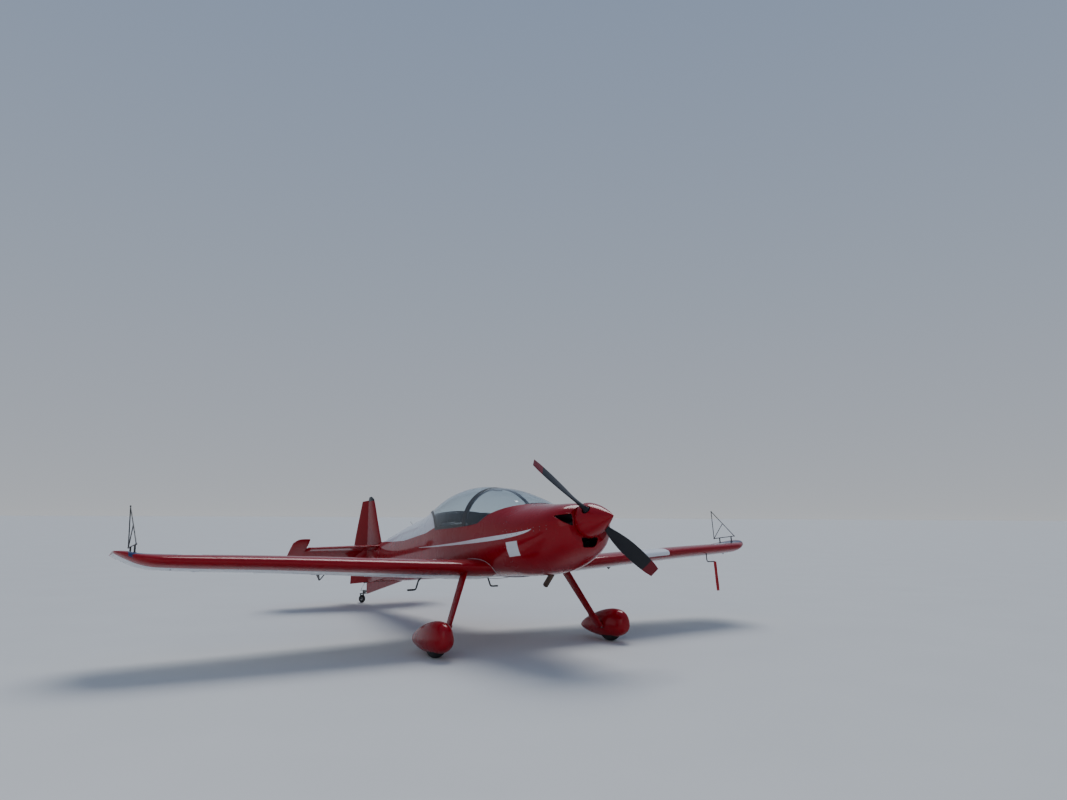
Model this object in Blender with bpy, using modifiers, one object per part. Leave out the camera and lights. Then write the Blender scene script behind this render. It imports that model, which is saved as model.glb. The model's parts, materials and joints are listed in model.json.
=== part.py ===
# Light aircraft: a low-wing aerobatic two-seater with a tail wheel, parked on its gear.
# The airframe is drawn level, x forward, y to its left, z up, in metres, and an empty then
# pitches it nose-up until the main wheels and the tail wheel stand on z = 0.

import math

import bmesh
import bpy
from mathutils import Matrix, Quaternion, Vector

# Fits and walls
FIT = 0.0003
SEAT = 0.0006
SKIN = 0.016
COWL_WALL = 0.010
GLASS = 0.006
SEAM = 0.0006

# Fuselage envelope, one row a station:
# x, half width, height of the widest point, top, bottom, upper roundness, lower roundness
ENVELOPE = (
    (1.320, 0.250, 1.280, 1.448, 1.040, 2.0, 2.3),
    (1.250, 0.330, 1.275, 1.470, 0.975, 2.1, 2.5),
    (1.100, 0.400, 1.260, 1.492, 0.900, 2.2, 2.6),
    (0.900, 0.450, 1.240, 1.512, 0.830, 2.2, 2.6),
    (0.700, 0.482, 1.240, 1.538, 0.795, 2.2, 2.6),
    (0.450, 0.505, 1.260, 1.578, 0.782, 2.2, 2.6),
    (0.150, 0.518, 1.290, 1.712, 0.798, 2.1, 2.7),
    (-0.150, 0.524, 1.310, 1.822, 0.812, 2.1, 2.8),
    (-0.500, 0.528, 1.320, 1.903, 0.825, 2.1, 2.8),
    (-0.800, 0.525, 1.320, 1.955, 0.835, 2.1, 2.8),
    (-1.100, 0.515, 1.320, 1.975, 0.845, 2.1, 2.8),
    (-1.500, 0.480, 1.320, 1.955, 0.862, 2.1, 2.7),
    (-1.900, 0.435, 1.310, 1.892, 0.882, 2.0, 2.6),
    (-2.420, 0.375, 1.300, 1.806, 0.900, 1.9, 2.5),
    (-2.850, 0.325, 1.290, 1.772, 0.912, 1.8, 2.4),
    (-3.250, 0.280, 1.280, 1.733, 0.923, 1.8, 2.3),
    (-3.740, 0.220, 1.270, 1.672, 0.940, 1.8, 2.2),
    (-4.400, 0.135, 1.270, 1.602, 0.962, 1.9, 2.1),
    (-5.060, 0.034, 1.280, 1.585, 0.980, 2.0, 2.0),
)
ENVELOPE_POINTS = 26
STATION_PITCH = 0.340

# Where the body is divided
FIREWALL_X = 0.450
FIREWALL_THICKNESS = 0.006
COWL_SPLIT_Z = 1.240
TAIL_SPLIT_X = -1.900
DECK_Z = 1.468
DECK_FRONT_X = -1.340
DECK_REAR_X = -4.440
DECK_STEP = 0.014

# Side-view line, x, z, that the windscreen and the canopy sit on, from front to rear
SILL = ((0.434, 1.576), (0.060, 1.498), (-0.170, 1.418), (-1.360, 1.470), (-2.600, 1.524))
# Plan-view edge of the canopy over the turtledeck: its rear end, its foot and its roundness
CANOPY_REAR_X = -2.440
CANOPY_FOOT = (-1.352, 0.482)
CANOPY_CURVE = 1.2
CANOPY_EDGE_Y = (0.600, 0.482, 0.360, 0.240, 0.120, 0.045)
DECK_UNDERLAP = 0.030
ARCH_X = -0.500
ARCH_WIDTH = 0.045
ARCH_DEPTH = 0.026
FRAME_WIDTH = 0.034
FRAME_BAND = 0.056
FRAME_DEPTH = 0.008
CANOPY_GAP = 0.006
TRACK_HALF_WIDTH = 0.014
TRACK_HEIGHT = 0.005
TRACK_REAR_X = -4.100

# Cowling openings, as outlines y, z on the front view, and the x at which each ends inside
INLET = ((0.190, 1.362), (0.190, 1.218), (0.310, 1.280), (0.358, 1.355))
INLET_BACK_X = 0.930
CHIN = ((0.115, 1.120), (0.080, 1.012), (-0.080, 1.012), (-0.115, 1.120))
CHIN_BACK_X = 1.120

# Propeller
THRUST_Z = 1.287
PROP_RADIUS = 0.900
PROP_X = 1.450
HUB_REAR_X = 1.327
SPINNER_BACK_X = 1.330
SPINNER_TIP_X = 1.747
SPINNER_RADIUS = 0.182
SPINNER_WALL = 0.005
SPINNER_POINT = 1.5
SPINNER_HOLE = 0.046
PLATE_GAP = 0.0016
BLADE_TIP_SIDE = -0.787
SHAFT_RADIUS = 0.045
SHAFT_GAP = 0.012
HUB_RADIUS = 0.075
CUFF_RADIUS = 0.034
CUFF_END = 0.155
# radius share, chord, thickness, pitch in degrees
BLADE = (
    (0.215, 0.080, 0.050, 58.0),
    (0.320, 0.120, 0.034, 52.0),
    (0.480, 0.155, 0.022, 45.0),
    (0.700, 0.160, 0.015, 39.0),
    (0.900, 0.138, 0.010, 35.0),
    (1.000, 0.108, 0.006, 33.0),
)
BLADE_POINTS = 14

# Engine block
ENGINE_LENGTH = 0.600
ENGINE_HALF_WIDTH = 0.290
ENGINE_LOW = 1.110
ENGINE_HIGH = 1.420

# Exhaust stub: its axis from inside the cowl to its open end
EXHAUST_TOP = (0.428, 0.100, 0.800)
EXHAUST_END = (0.275, 0.100, 0.682)
EXHAUST_RADIUS = 0.031
EXHAUST_WALL = 0.004

# Wing, one row a station: y, leading edge x, chord, height, thickness
WING = (
    (0.300, -0.030, 1.580, 0.925, 0.235),
    (0.560, -0.035, 1.560, 0.928, 0.222),
    (0.760, -0.045, 1.515, 0.937, 0.200),
    (1.150, -0.055, 1.455, 0.955, 0.193),
    (2.700, -0.170, 1.215, 1.045, 0.168),
    (3.800, -0.253, 1.045, 1.100, 0.146),
    (3.960, -0.330, 0.965, 1.128, 0.124),
    (4.085, -0.455, 0.800, 1.178, 0.084),
    (4.170, -0.610, 0.530, 1.214, 0.028),
)
AIRFOIL_POINTS = 9
# Where the body is cut out of a wing's root, from behind it to ahead of it
WING_ROOT_X = (-2.420, 0.700)

# Tie-down lug under each wing
LUG_Y = 3.687
LUG_X = (-0.500, -0.452)
LUG_HALF_WIDTH = 0.014
LUG_LOW_Z = 1.010
LUG_HIGH_Z = 1.080

# Aileron
AILERON_IN_Y = 1.100
AILERON_OUT_Y = 3.770
AILERON_RIB_Y = 2.700
HINGE_SHARE = 0.760
SURFACE_GAP = 0.008
HORN_Y = 2.050
HORN_DROP = 0.118
HORN_THICKNESS = 0.006
HORN_FRONT = 0.020
HORN_REAR = 0.125
HORN_TIP = 0.041
HORN_TOE = 0.012
HORN_LIP = 0.010
HORN_KNEE = 0.040
PUSH_ROD_RADIUS = 0.006
PUSH_ROD_LENGTH = 0.240
PIN_GAP = 0.0008
HINGE_PIN = 0.006

# Tailplane and elevator: y, leading edge x, thickness; hinge line is straight across
TAIL_Z = 1.530
ELEVATOR_X = -4.990
TAILPLANE = (
    (0.000, -4.330, 0.075),
    (0.600, -4.510, 0.066),
    (1.085, -4.660, 0.056),
)
# y, trailing edge x, hinge radius
ELEVATOR = (
    (0.125, -5.100, 0.034),
    (0.210, -5.340, 0.033),
    (1.100, -5.300, 0.027),
)
ELEVATOR_HORN = (
    (1.101, -4.640, -5.300, 0.054),
    (1.270, -4.660, -5.290, 0.046),
    (1.335, -4.760, -5.270, 0.020),
)
ELEVATOR_DROOP = 25.0
TORQUE_TUBE = 0.013

# Fin: z, leading edge x, thickness
FIN = (
    (1.480, -4.390, 0.075),
    (1.600, -4.440, 0.072),
    (1.930, -4.580, 0.060),
    (2.345, -4.755, 0.046),
    (2.400, -4.850, 0.022),
)
# The rudder's raked hinge line: x, z at its foot and at its top
RUDDER_HINGE = ((-5.092, 1.000), (-4.980, 2.345))
# z, chord behind the hinge, hinge radius
RUDDER = (
    (0.988, 0.410, 0.024),
    (1.600, 0.335, 0.030),
    (2.350, 0.152, 0.019),
)
RUDDER_REST = 25.0
RUDDER_HINGE_GAP = 0.006
# What is cut away ahead of the rudder: up to these heights, back to this x and out to this half width
RUDDER_GAP_Z = (0.700, 1.800)
RUDDER_GAP_X = -5.400
TAIL_HALF_WIDTH = 0.300

# Ventral fin: x, bottom z at its front and its rear
VENTRAL_FRONT = (-3.640, 0.930)
VENTRAL_REAR = (-5.100, 0.798)
VENTRAL_TOP_Z = 0.9745
VENTRAL_NOTCH_X = (-5.020, -4.960)
VENTRAL_INSIDE_Z = (1.100, 1.050)
VENTRAL_THICKNESS = 0.026

# Main wheels
TRACK = 2.310
TYRE_RADIUS = 0.175
TYRE_WIDTH = 0.130
RIM_RADIUS = 0.070
AXLE_RADIUS = 0.020
AXLE = (0.022, 0.179)
LEG_INSET = 0.124
AXLE_OVERRUN = 0.011
AXLE_INNER_Y = TRACK / 2 - LEG_INSET - AXLE_OVERRUN
AXLE_OUTER_Y = TRACK / 2 + TYRE_WIDTH / 2 + 0.006
PANT_FRONT = 0.320
PANT_REAR = -0.600
PANT_HALF_WIDTH = 0.118
PANT_TOP = 0.197
PANT_BOTTOM = -0.135
PANT_BLUNTNESS = 0.72
PANT_TAIL_LIFT = 0.020
PANT_POINTS = 16
WELL_POINTS = 28
# The wheel well's outline round the tyre: half width and how far it clears the tyre's tread
WELL = ((0.030, 0.009), (0.056, -0.007), (0.074, -0.028))

# Gear leg: centre at its top and at the axle's height
LEG_TOP = (-0.200, 0.657, 0.920)
LEG_FOOT = (-0.025, TRACK / 2 - LEG_INSET, 0.168)
LEG_CHORD_TOP = 0.176
LEG_CHORD_FOOT = 0.128
LEG_THICKNESS = 0.026
LEG_CUFF = 0.010
LEG_POINTS = 12

# Tail wheel
TAIL_AXLE = (-5.305, 0.726)
TAIL_TYRE_RADIUS = 0.065
TAIL_TYRE_WIDTH = 0.042
SWIVEL_X = -5.255
SWIVEL_LOW = 0.818
SWIVEL_HIGH = 0.858
SWIVEL_RADIUS = 0.011
STEERING_ARM = 0.070
STEERING_BAR_Z = 0.866
RUDDER_BAR_Z = 0.978
BAR_HALF_WIDTH = 0.010
BAR_THICKNESS = 0.012
HEEL_GAP = 0.0011
LINK_RADIUS = 0.004
LINK_GAP = 0.009
SWIVEL_BOSS = 0.024
LEAF_HALF_WIDTH = 0.016
CROWN_THICKNESS = 0.014
FORK_HALF_WIDTH = 0.036
FORK_ARM = 0.008
TAIL_AXLE_RADIUS = 0.007

# Cabin
FLOOR_Z = 0.905
FLOOR_THICKNESS = 0.012
BULKHEAD_X = -1.600
SEAT_Y = 0.232
SEAT_HALF_WIDTH = 0.200
SEAT_CLEARANCE = 0.006
SEAT_BEVEL = 0.014
HEAD_REST_HALF_WIDTH = 0.090
HEAD_REST_LOW_Z = 1.560
BULKHEAD_THICKNESS = 0.010
PANEL_DROP = 0.020
SHELF_THICKNESS = 0.006
SHELF_GAP = 0.005
SHELF_INSET = 0.030
# Side views, x, z, of the instrument panel with its glare shield, a seat and a control stick
PANEL = ((0.405, 1.555), (-0.150, 1.486), (-0.165, 1.466), (-0.085, 1.170), (-0.060, 1.170), (0.405, 1.380))
SEAT_PROFILE = ((-0.560, FLOOR_Z + FIT), (-0.520, 1.060), (-0.560, 1.085), (-0.960, 1.045), (-1.235, 1.560),
                (-1.270, 1.700), (-1.320, 1.700), (-1.335, 1.560), (-1.130, 1.000), (-1.080, FLOOR_Z + FIT))
STICK = ((-0.390, FLOOR_Z + FIT), (-0.390, 1.020), (-0.420, 1.120), (-0.415, 1.220), (-0.400, 1.300))
STICK_RADIUS = 0.013

# Boarding step on the left, x, y, z, from inside the skin to its tip
STEP = ((-1.805, 0.330, 0.985), (-1.812, 0.455, 0.930), (-1.820, 0.520, 0.860), (-1.825, 0.555, 0.758),
        (-1.828, 0.572, 0.751), (-1.830, 0.672, 0.750))
STEP_RADIUS = 0.011
STEP_MARGIN = 0.615

# Antenna on the turtledeck: side view, x, z
ANTENNA = ((-3.215, 1.705), (-3.235, 1.755), (-3.305, 1.800))
ANTENNA_Y = 0.030
ANTENNA_RADIUS = 0.004
ANTENNA_MARGIN = 0.330

# Wing-tip sight frame: points x, y, z
SIGHT_APEX = (-0.951, 4.020, 1.687)
SIGHT_AFT = (-0.949, 4.016, 1.274)
SIGHT_FORE = (-0.505, 3.990, 1.270)
SIGHT_ROD = 0.0055
SIGHT_POST = 0.009
SIGHT_POST_DROP = 0.160

# Pitot tube and the streamer that hangs from its cover
PITOT_Y = 3.150
PITOT_RADIUS = 0.007
PITOT = ((-0.268, 1.065), (-0.268, 0.925), (-0.262, 0.908), (-0.245, 0.900), (-0.120, 0.892))
# width, length, thickness
STREAMER = (0.052, 0.389, 0.006)

# Colours, roughness, metallic
RED = (0.42, 0.008, 0.022)
BLACK = (0.012, 0.012, 0.014)
FINISHES = {
    "red_paint": (RED, 0.16, 0.0),
    "white_paint": ((0.78, 0.79, 0.80), 0.20, 0.0),
    "black_paint": (BLACK, 0.35, 0.0),
    "black_blade": ((0.016, 0.017, 0.020), 0.30, 0.0),
    "dark_trim": ((0.03, 0.03, 0.034), 0.55, 0.0),
    "upholstery": ((0.05, 0.05, 0.055), 0.75, 0.0),
    "glass": ((0.70, 0.78, 0.80), 0.04, 0.0),
    "rubber": ((0.02, 0.02, 0.02), 0.85, 0.0),
    "alloy": ((0.55, 0.56, 0.58), 0.35, 1.0),
    "steel": ((0.34, 0.34, 0.36), 0.38, 1.0),
    "exhaust": ((0.23, 0.16, 0.10), 0.55, 1.0),
    "streamer": ((0.55, 0.01, 0.02), 0.80, 0.0),
}

SIDES = (("left", 1.0), ("right", -1.0))


def clear_objects():
    for old in list(bpy.data.objects):
        bpy.data.objects.remove(old, do_unlink=True)


def make_collection(name):
    group = bpy.data.collections.new(name)
    bpy.context.scene.collection.children.link(group)
    return group


clear_objects()
PARTS = make_collection("light_aircraft")
CUTTERS = make_collection("cutters")
MATERIALS = {}


def finish(name):
    if name not in MATERIALS:
        colour, roughness, metallic = FINISHES[name]
        made = bpy.data.materials.new(name)
        made.use_nodes = True
        shader = made.node_tree.nodes["Principled BSDF"]
        shader.inputs["Base Color"].default_value = (*colour, 1.0)
        shader.inputs["Roughness"].default_value = roughness
        shader.inputs["Metallic"].default_value = metallic
        made.diffuse_color = (*colour, 1.0)
        MATERIALS[name] = made
    return MATERIALS[name]


def make_empty(name, location=(0.0, 0.0, 0.0), parent=None, rotation=(0.0, 0.0, 0.0)):
    empty = bpy.data.objects.new(name, None)
    empty.location = location
    empty.rotation_euler = rotation
    empty.empty_display_size = 0.2
    empty.parent = parent
    PARTS.objects.link(empty)
    return empty


AIRFRAME = make_empty("airframe")


def add_object(name, mesh, look=None, parent=None):
    """Link a mesh as a part, or as a cutter when it has no look."""
    made = bpy.data.objects.new(name, mesh)
    made.parent = parent or AIRFRAME
    if look:
        mesh.materials.clear()
        mesh.materials.append(finish(look))
        mesh.shade_smooth()
        mesh.set_sharp_from_angle(angle=math.radians(35.0))
        PARTS.objects.link(made)
    else:
        made.hide_render = True
        made.display_type = "WIRE"
        CUTTERS.objects.link(made)
    return made


def mesh_from(shape, name):
    bmesh.ops.recalc_face_normals(shape, faces=shape.faces)
    mesh = bpy.data.meshes.new(name)
    shape.to_mesh(mesh)
    shape.free()
    return mesh


def loft(name, rings):
    """Skin closed rings of the same number of points, and cap both ends."""
    shape = bmesh.new()
    rows = [[shape.verts.new(point) for point in ring] for ring in rings]
    count = len(rows[0])
    for low, high in zip(rows, rows[1:]):
        for i in range(count):
            j = (i + 1) % count
            shape.faces.new((low[i], low[j], high[j]))
            shape.faces.new((low[i], high[j], high[i]))
    shape.faces.new(list(reversed(rows[0])))
    shape.faces.new(rows[-1])
    return mesh_from(shape, name)


def prism(name, outline, low, high, axis="y"):
    """Push an outline along one axis. The outline's two numbers are the other two axes in order."""
    def at(a, b, c):
        return {"x": (c, a, b), "y": (a, c, b), "z": (a, b, c)}[axis]
    return loft(name, [[at(a, b, c) for a, b in outline] for c in (low, high)])


def block(name, low, high):
    shape = bmesh.new()
    size = [b - a for a, b in zip(low, high)]
    centre = [(a + b) / 2 for a, b in zip(low, high)]
    placed = Matrix.Translation(centre) @ Matrix.Diagonal((*size, 1.0))
    bmesh.ops.create_cube(shape, size=1.0, matrix=placed)
    return mesh_from(shape, name)


def rod(name, start, end, radius, sides=16, end_radius=None):
    """A straight round bar between two points."""
    start, end = Vector(start), Vector(end)
    along = end - start
    turn = along.to_track_quat("Z", "Y").to_matrix().to_4x4()
    shape = bmesh.new()
    bmesh.ops.create_cone(
        shape, cap_ends=True, segments=sides, radius1=radius, radius2=end_radius or radius,
        depth=along.length, matrix=Matrix.Translation((start + end) / 2) @ turn)
    return mesh_from(shape, name)


def tube(name, points, radius, look, parent=None, resolution=2):
    """A bent bar along points, from a curve that is made a mesh with welded caps."""
    path = bpy.data.curves.new(name + "_path", "CURVE")
    path.dimensions = "3D"
    path.bevel_depth = radius
    path.bevel_resolution = resolution
    path.use_fill_caps = True
    line = path.splines.new("POLY")
    line.points.add(len(points) - 1)
    for point, place in zip(line.points, points):
        point.co = (*place, 1.0)
    guide = bpy.data.objects.new(name + "_path", path)
    PARTS.objects.link(guide)
    depsgraph = bpy.context.evaluated_depsgraph_get()
    mesh = bpy.data.meshes.new_from_object(guide.evaluated_get(depsgraph))
    mesh.name = name
    bpy.data.objects.remove(guide, do_unlink=True)
    shape = bmesh.new()
    shape.from_mesh(mesh)
    bmesh.ops.remove_doubles(shape, verts=shape.verts, dist=0.00005)
    bmesh.ops.recalc_face_normals(shape, faces=shape.faces)
    shape.to_mesh(mesh)
    shape.free()
    return add_object(name, mesh, look, parent)


def turned(name, profile, look, parent, rotation, steps=32):
    """A closed profile of radius and height turned round the local z axis."""
    shape = bmesh.new()
    corners = [shape.verts.new((radius, 0.0, height)) for radius, height in profile]
    for a, b in zip(corners, corners[1:] + corners[:1]):
        shape.edges.new((a, b))
    mesh = bpy.data.meshes.new(name)
    shape.to_mesh(mesh)
    shape.free()
    made = add_object(name, mesh, look, parent)
    made.rotation_euler = rotation
    screw = made.modifiers.new("turn", "SCREW")
    screw.steps = steps
    screw.render_steps = steps
    screw.use_merge_vertices = True
    screw.merge_threshold = 0.0001
    screw.use_smooth_shade = True
    return made


def combine(target, other, operation):
    step = target.modifiers.new(operation.lower() + "_" + other.name, "BOOLEAN")
    step.operation = operation
    step.solver = "EXACT"
    step.object = other
    return step


def cut(target, *meshes):
    for mesh in meshes:
        combine(target, mesh if isinstance(mesh, bpy.types.Object) else add_object(mesh.name, mesh), "DIFFERENCE")


def join(target, *meshes):
    for mesh in meshes:
        combine(target, mesh if isinstance(mesh, bpy.types.Object) else add_object(mesh.name, mesh), "UNION")


def keep(target, *meshes):
    for mesh in meshes:
        combine(target, mesh if isinstance(mesh, bpy.types.Object) else add_object(mesh.name, mesh), "INTERSECT")


def blend_rows(rows, x):
    """Read a table at x with a smooth curve through its rows, which run in order of column 0."""
    ordered = sorted(rows)
    x = min(max(x, ordered[0][0]), ordered[-1][0])
    index = 0
    while index < len(ordered) - 2 and x > ordered[index + 1][0]:
        index += 1
    low, high = ordered[index], ordered[index + 1]
    before = ordered[max(index - 1, 0)]
    after = ordered[min(index + 2, len(ordered) - 1)]
    span = high[0] - low[0]
    t = (x - low[0]) / span
    values = []
    for column in range(1, len(low)):
        chord = (high[column] - low[column]) / span
        slopes = []
        for near, far in ((before, high), (low, after)):
            width = far[0] - near[0]
            slopes.append((far[column] - near[column]) / width if width else chord)
        a, b = (slope * span for slope in slopes)
        rise = high[column] - low[column]
        values.append(low[column] + a * t + (3 * rise - 2 * a - b) * t * t + (a + b - 2 * rise) * t ** 3)
    return values


def smooth_ring(x, grow, count=ENVELOPE_POINTS):
    half, middle, top, bottom, round_up, round_down = blend_rows(ENVELOPE, x)
    ring = []
    for i in range(count):
        angle = 2 * math.pi * (i + 0.5) / count
        c, s = math.cos(angle), math.sin(angle)
        power = 2.0 / (round_up if s > 0 else round_down)
        reach = (top - middle if s > 0 else middle - bottom) + grow
        y = math.copysign((half + grow) * abs(c) ** power, c)
        z = middle + math.copysign(reach * abs(s) ** power, s)
        ring.append((x, y, z))
    return ring


DIVISIONS = (DECK_REAR_X, CANOPY_REAR_X, TAIL_SPLIT_X, ARCH_X, ARCH_X + ARCH_WIDTH, FIREWALL_X)


def envelope_grid():
    """Every station of the body, so that pieces and the cutters that fit them share their facets."""
    ordered = sorted({row[0] for row in ENVELOPE} | set(DIVISIONS))
    grid = [ordered[0]]
    for low, high in zip(ordered, ordered[1:]):
        count = math.ceil((high - low) / STATION_PITCH)
        grid += [low + (high - low) * (i + 1) / count for i in range(count)]
    return grid


GRID = envelope_grid()


def envelope_ring(x, grow=0.0):
    """The envelope's outline at x, on the straight facets between two grid stations."""
    inside = min(max(x, GRID[0]), GRID[-1])
    index = next(i for i in range(1, len(GRID)) if inside <= GRID[i])
    low, high = GRID[index - 1], GRID[index]
    t = (inside - low) / (high - low)
    pairs = zip(smooth_ring(low, grow), smooth_ring(high, grow))
    return [(x, a[1] + (b[1] - a[1]) * t, a[2] + (b[2] - a[2]) * t) for a, b in pairs]


def stations(rear, front):
    return [rear] + [x for x in GRID if rear + 0.001 < x < front - 0.001] + [front]


def envelope(name, rear, front, grow=0.0):
    return loft(name, [envelope_ring(x, grow) for x in stations(rear, front)])


def shell(name, rear, front, wall, look, parent=None):
    """A stretch of the envelope with a wall, open at both ends."""
    outer = [envelope_ring(x) for x in stations(rear, front)]
    inner = [envelope_ring(x, -wall) for x in stations(rear, front)]
    shape = bmesh.new()
    skins = []
    for rings in (outer, inner):
        skins.append([[shape.verts.new(point) for point in ring] for ring in rings])
    count = len(outer[0])
    for rows in skins:
        for low, high in zip(rows, rows[1:]):
            for i in range(count):
                j = (i + 1) % count
                shape.faces.new((low[i], low[j], high[j]))
                shape.faces.new((low[i], high[j], high[i]))
    for end in (0, -1):
        for i in range(count):
            j = (i + 1) % count
            shape.faces.new((skins[0][end][i], skins[0][end][j], skins[1][end][j], skins[1][end][i]))
    return add_object(name, mesh_from(shape, name), look, parent)


# How far the cutters reach past the body, sideways and up
REACH = 0.8
SKY = 2.6


def sill_height(x):
    """Height of the line on which the windscreen and the canopy sit."""
    for (front_x, front_z), (rear_x, rear_z) in zip(SILL, SILL[1:]):
        if x >= rear_x:
            return front_z + (rear_z - front_z) * (x - front_x) / (rear_x - front_x)
    return SILL[-1][1]


def above_sill(name, rear, front, lift):
    """A prism above the sill line, between two stations."""
    bends = [x for x, z in SILL if rear < x < front]
    line = [(x, sill_height(x) + lift) for x in [front] + bends + [rear]]
    return prism(name, line + [(rear, SKY), (front, SKY)], -REACH, REACH)


def canopy_rear_edge(y):
    """The x of the canopy's rear edge, which runs aft to a rounded point over the turtledeck."""
    foot_x, foot_y = CANOPY_FOOT
    return CANOPY_REAR_X + (foot_x - CANOPY_REAR_X) * (abs(y) / foot_y) ** CANOPY_CURVE


def canopy_edge_width(x):
    """The half width at which the canopy's rear edge passes x."""
    foot_x, foot_y = CANOPY_FOOT
    return foot_y * ((x - CANOPY_REAR_X) / (foot_x - CANOPY_REAR_X)) ** (1 / CANOPY_CURVE)


def canopy_plan(shift, front=1.0):
    """The canopy's plan outline, with its rear edge moved forward by shift."""
    places = [-y for y in CANOPY_EDGE_Y] + [0.0] + list(reversed(CANOPY_EDGE_Y))
    edge = [(canopy_rear_edge(y) + shift, y) for y in places]
    return edge + [(front, CANOPY_EDGE_Y[0]), (front, -CANOPY_EDGE_Y[0])]


def ahead_of_edge(name, shift):
    """Everything ahead of the canopy's rear edge."""
    return prism(name, canopy_plan(shift), 1.0, SKY, "z")


# Cowling
def build_cowl():
    nose_x = ENVELOPE[0][0]
    for name, low, high in (("cowl_upper", COWL_SPLIT_Z + FIT, SKY), ("cowl_lower", 0.0, COWL_SPLIT_Z)):
        cowl = add_object(name, envelope(name, FIREWALL_X + SEAM / 2, nose_x), "red_paint")
        cut(cowl, envelope("cowl_hollow", FIREWALL_X - 0.05, nose_x - COWL_WALL, -COWL_WALL))
        cut(cowl, rod("shaft_hole", (1.0, 0.0, THRUST_Z), (1.6, 0.0, THRUST_Z), SHAFT_RADIUS + SHAFT_GAP, 20))
        for side, sign in SIDES:
            outline = [(sign * y, z) for y, z in INLET]
            cut(cowl, prism("inlet_" + side, outline, INLET_BACK_X, 1.5, "x"))
        cut(cowl, prism("chin_intake", CHIN, CHIN_BACK_X, 1.5, "x"))
        keep(cowl, block("half_" + name, (0.0, -REACH, low), (2.0, REACH, high)))


def build_firewall_and_engine():
    plate = envelope("firewall", FIREWALL_X - FIREWALL_THICKNESS, FIREWALL_X, -SKIN - SEAT)
    add_object("firewall", plate, "alloy")
    rear = FIREWALL_X + FIT
    front = rear + ENGINE_LENGTH
    engine = add_object("engine_block", block(
        "engine_block", (rear, -ENGINE_HALF_WIDTH, ENGINE_LOW), (front, ENGINE_HALF_WIDTH, ENGINE_HIGH)), "steel")
    join(engine, rod("crankshaft", (front - 0.05, 0.0, THRUST_Z),
                     (HUB_REAR_X - FIT, 0.0, THRUST_Z), SHAFT_RADIUS, 20))
    exhaust = add_object("exhaust_pipe", rod("exhaust_pipe", EXHAUST_TOP, EXHAUST_END, EXHAUST_RADIUS, 20), "exhaust")
    top, end = Vector(EXHAUST_TOP), Vector(EXHAUST_END)
    inside = top + (end - top) * 0.2
    past = end + (end - top) * 0.2
    cut(exhaust, rod("exhaust_bore", inside, past, EXHAUST_RADIUS - EXHAUST_WALL, 20))
    cut(exhaust, envelope("exhaust_skin", -0.15, 0.9, SEAT))


# Cabin
def build_cabin():
    cabin = shell("cabin_shell", TAIL_SPLIT_X, FIREWALL_X - SEAM / 2, SKIN, "red_paint")
    cut(cabin, above_sill("canopy_gap", DECK_FRONT_X, SILL[0][0] + 0.05, 0.0))
    cut(cabin, block("deck_gap", (TAIL_SPLIT_X - 0.1, -REACH, DECK_Z - FIT), (DECK_FRONT_X + 0.001, REACH, SKY)))
    inside = -SKIN - SEAT
    floor = block("cabin_floor", (BULKHEAD_X + FIT, -REACH, FLOOR_Z - FLOOR_THICKNESS),
                  (FIREWALL_X - FIREWALL_THICKNESS - FIT, REACH, FLOOR_Z))
    keep(add_object("cabin_floor", floor, "dark_trim"), envelope("floor_fit", TAIL_SPLIT_X, FIREWALL_X, inside))
    wall = block("rear_bulkhead", (BULKHEAD_X - BULKHEAD_THICKNESS, -REACH, 0.0), (BULKHEAD_X, REACH, DECK_Z - FIT))
    keep(add_object("rear_bulkhead", wall, "dark_trim"),
         envelope("bulkhead_fit", TAIL_SPLIT_X, FIREWALL_X, inside))
    panel = add_object("instrument_panel", prism("instrument_panel", PANEL, -REACH, REACH), "dark_trim")
    keep(panel, envelope("panel_fit", TAIL_SPLIT_X, FIREWALL_X, inside))
    cut(panel, above_sill("panel_clear", -1.0, SILL[0][0] + 0.02, PANEL_DROP))
    shift = DECK_UNDERLAP + SHELF_GAP
    corner = canopy_edge_width(BULKHEAD_X - shift)
    sides = [y for y in CANOPY_EDGE_Y if y < corner]
    edge = [(canopy_rear_edge(y) + shift, y) for y in [-y for y in sides] + [0.0] + sides[::-1]]
    outline = edge + [(BULKHEAD_X, corner), (BULKHEAD_X, -corner)]
    shelf = prism("rear_shelf", outline, DECK_Z + FIT, DECK_Z + SHELF_THICKNESS, "z")
    keep(add_object("rear_shelf", shelf, "dark_trim"), envelope("shelf_fit", DECK_REAR_X, FIREWALL_X, -SHELF_INSET))


def build_seats():
    for side, sign in SIDES:
        centre = sign * SEAT_Y
        name = "seat_" + side
        low, high = centre - SEAT_HALF_WIDTH, centre + SEAT_HALF_WIDTH
        seat = add_object(name, prism(name, SEAT_PROFILE, low, high), "upholstery")
        for edge in (-1.0, 1.0):
            near, far = sorted((centre + edge * HEAD_REST_HALF_WIDTH, centre + edge * 0.300))
            cut(seat, block("head_rest_" + side, (-1.6, near, HEAD_REST_LOW_Z), (-1.1, far, 1.8)))
        keep(seat, envelope("seat_fit_" + side, TAIL_SPLIT_X, FIREWALL_X, -SKIN - SEAT_CLEARANCE))
        bevel = seat.modifiers.new("soft_edges", "BEVEL")
        bevel.width = SEAT_BEVEL
        bevel.segments = 1
        bevel.limit_method = "ANGLE"
        path = [(x, centre, z) for x, z in STICK]
        tube("control_stick_" + side, path, STICK_RADIUS, "black_paint", resolution=1)


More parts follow.
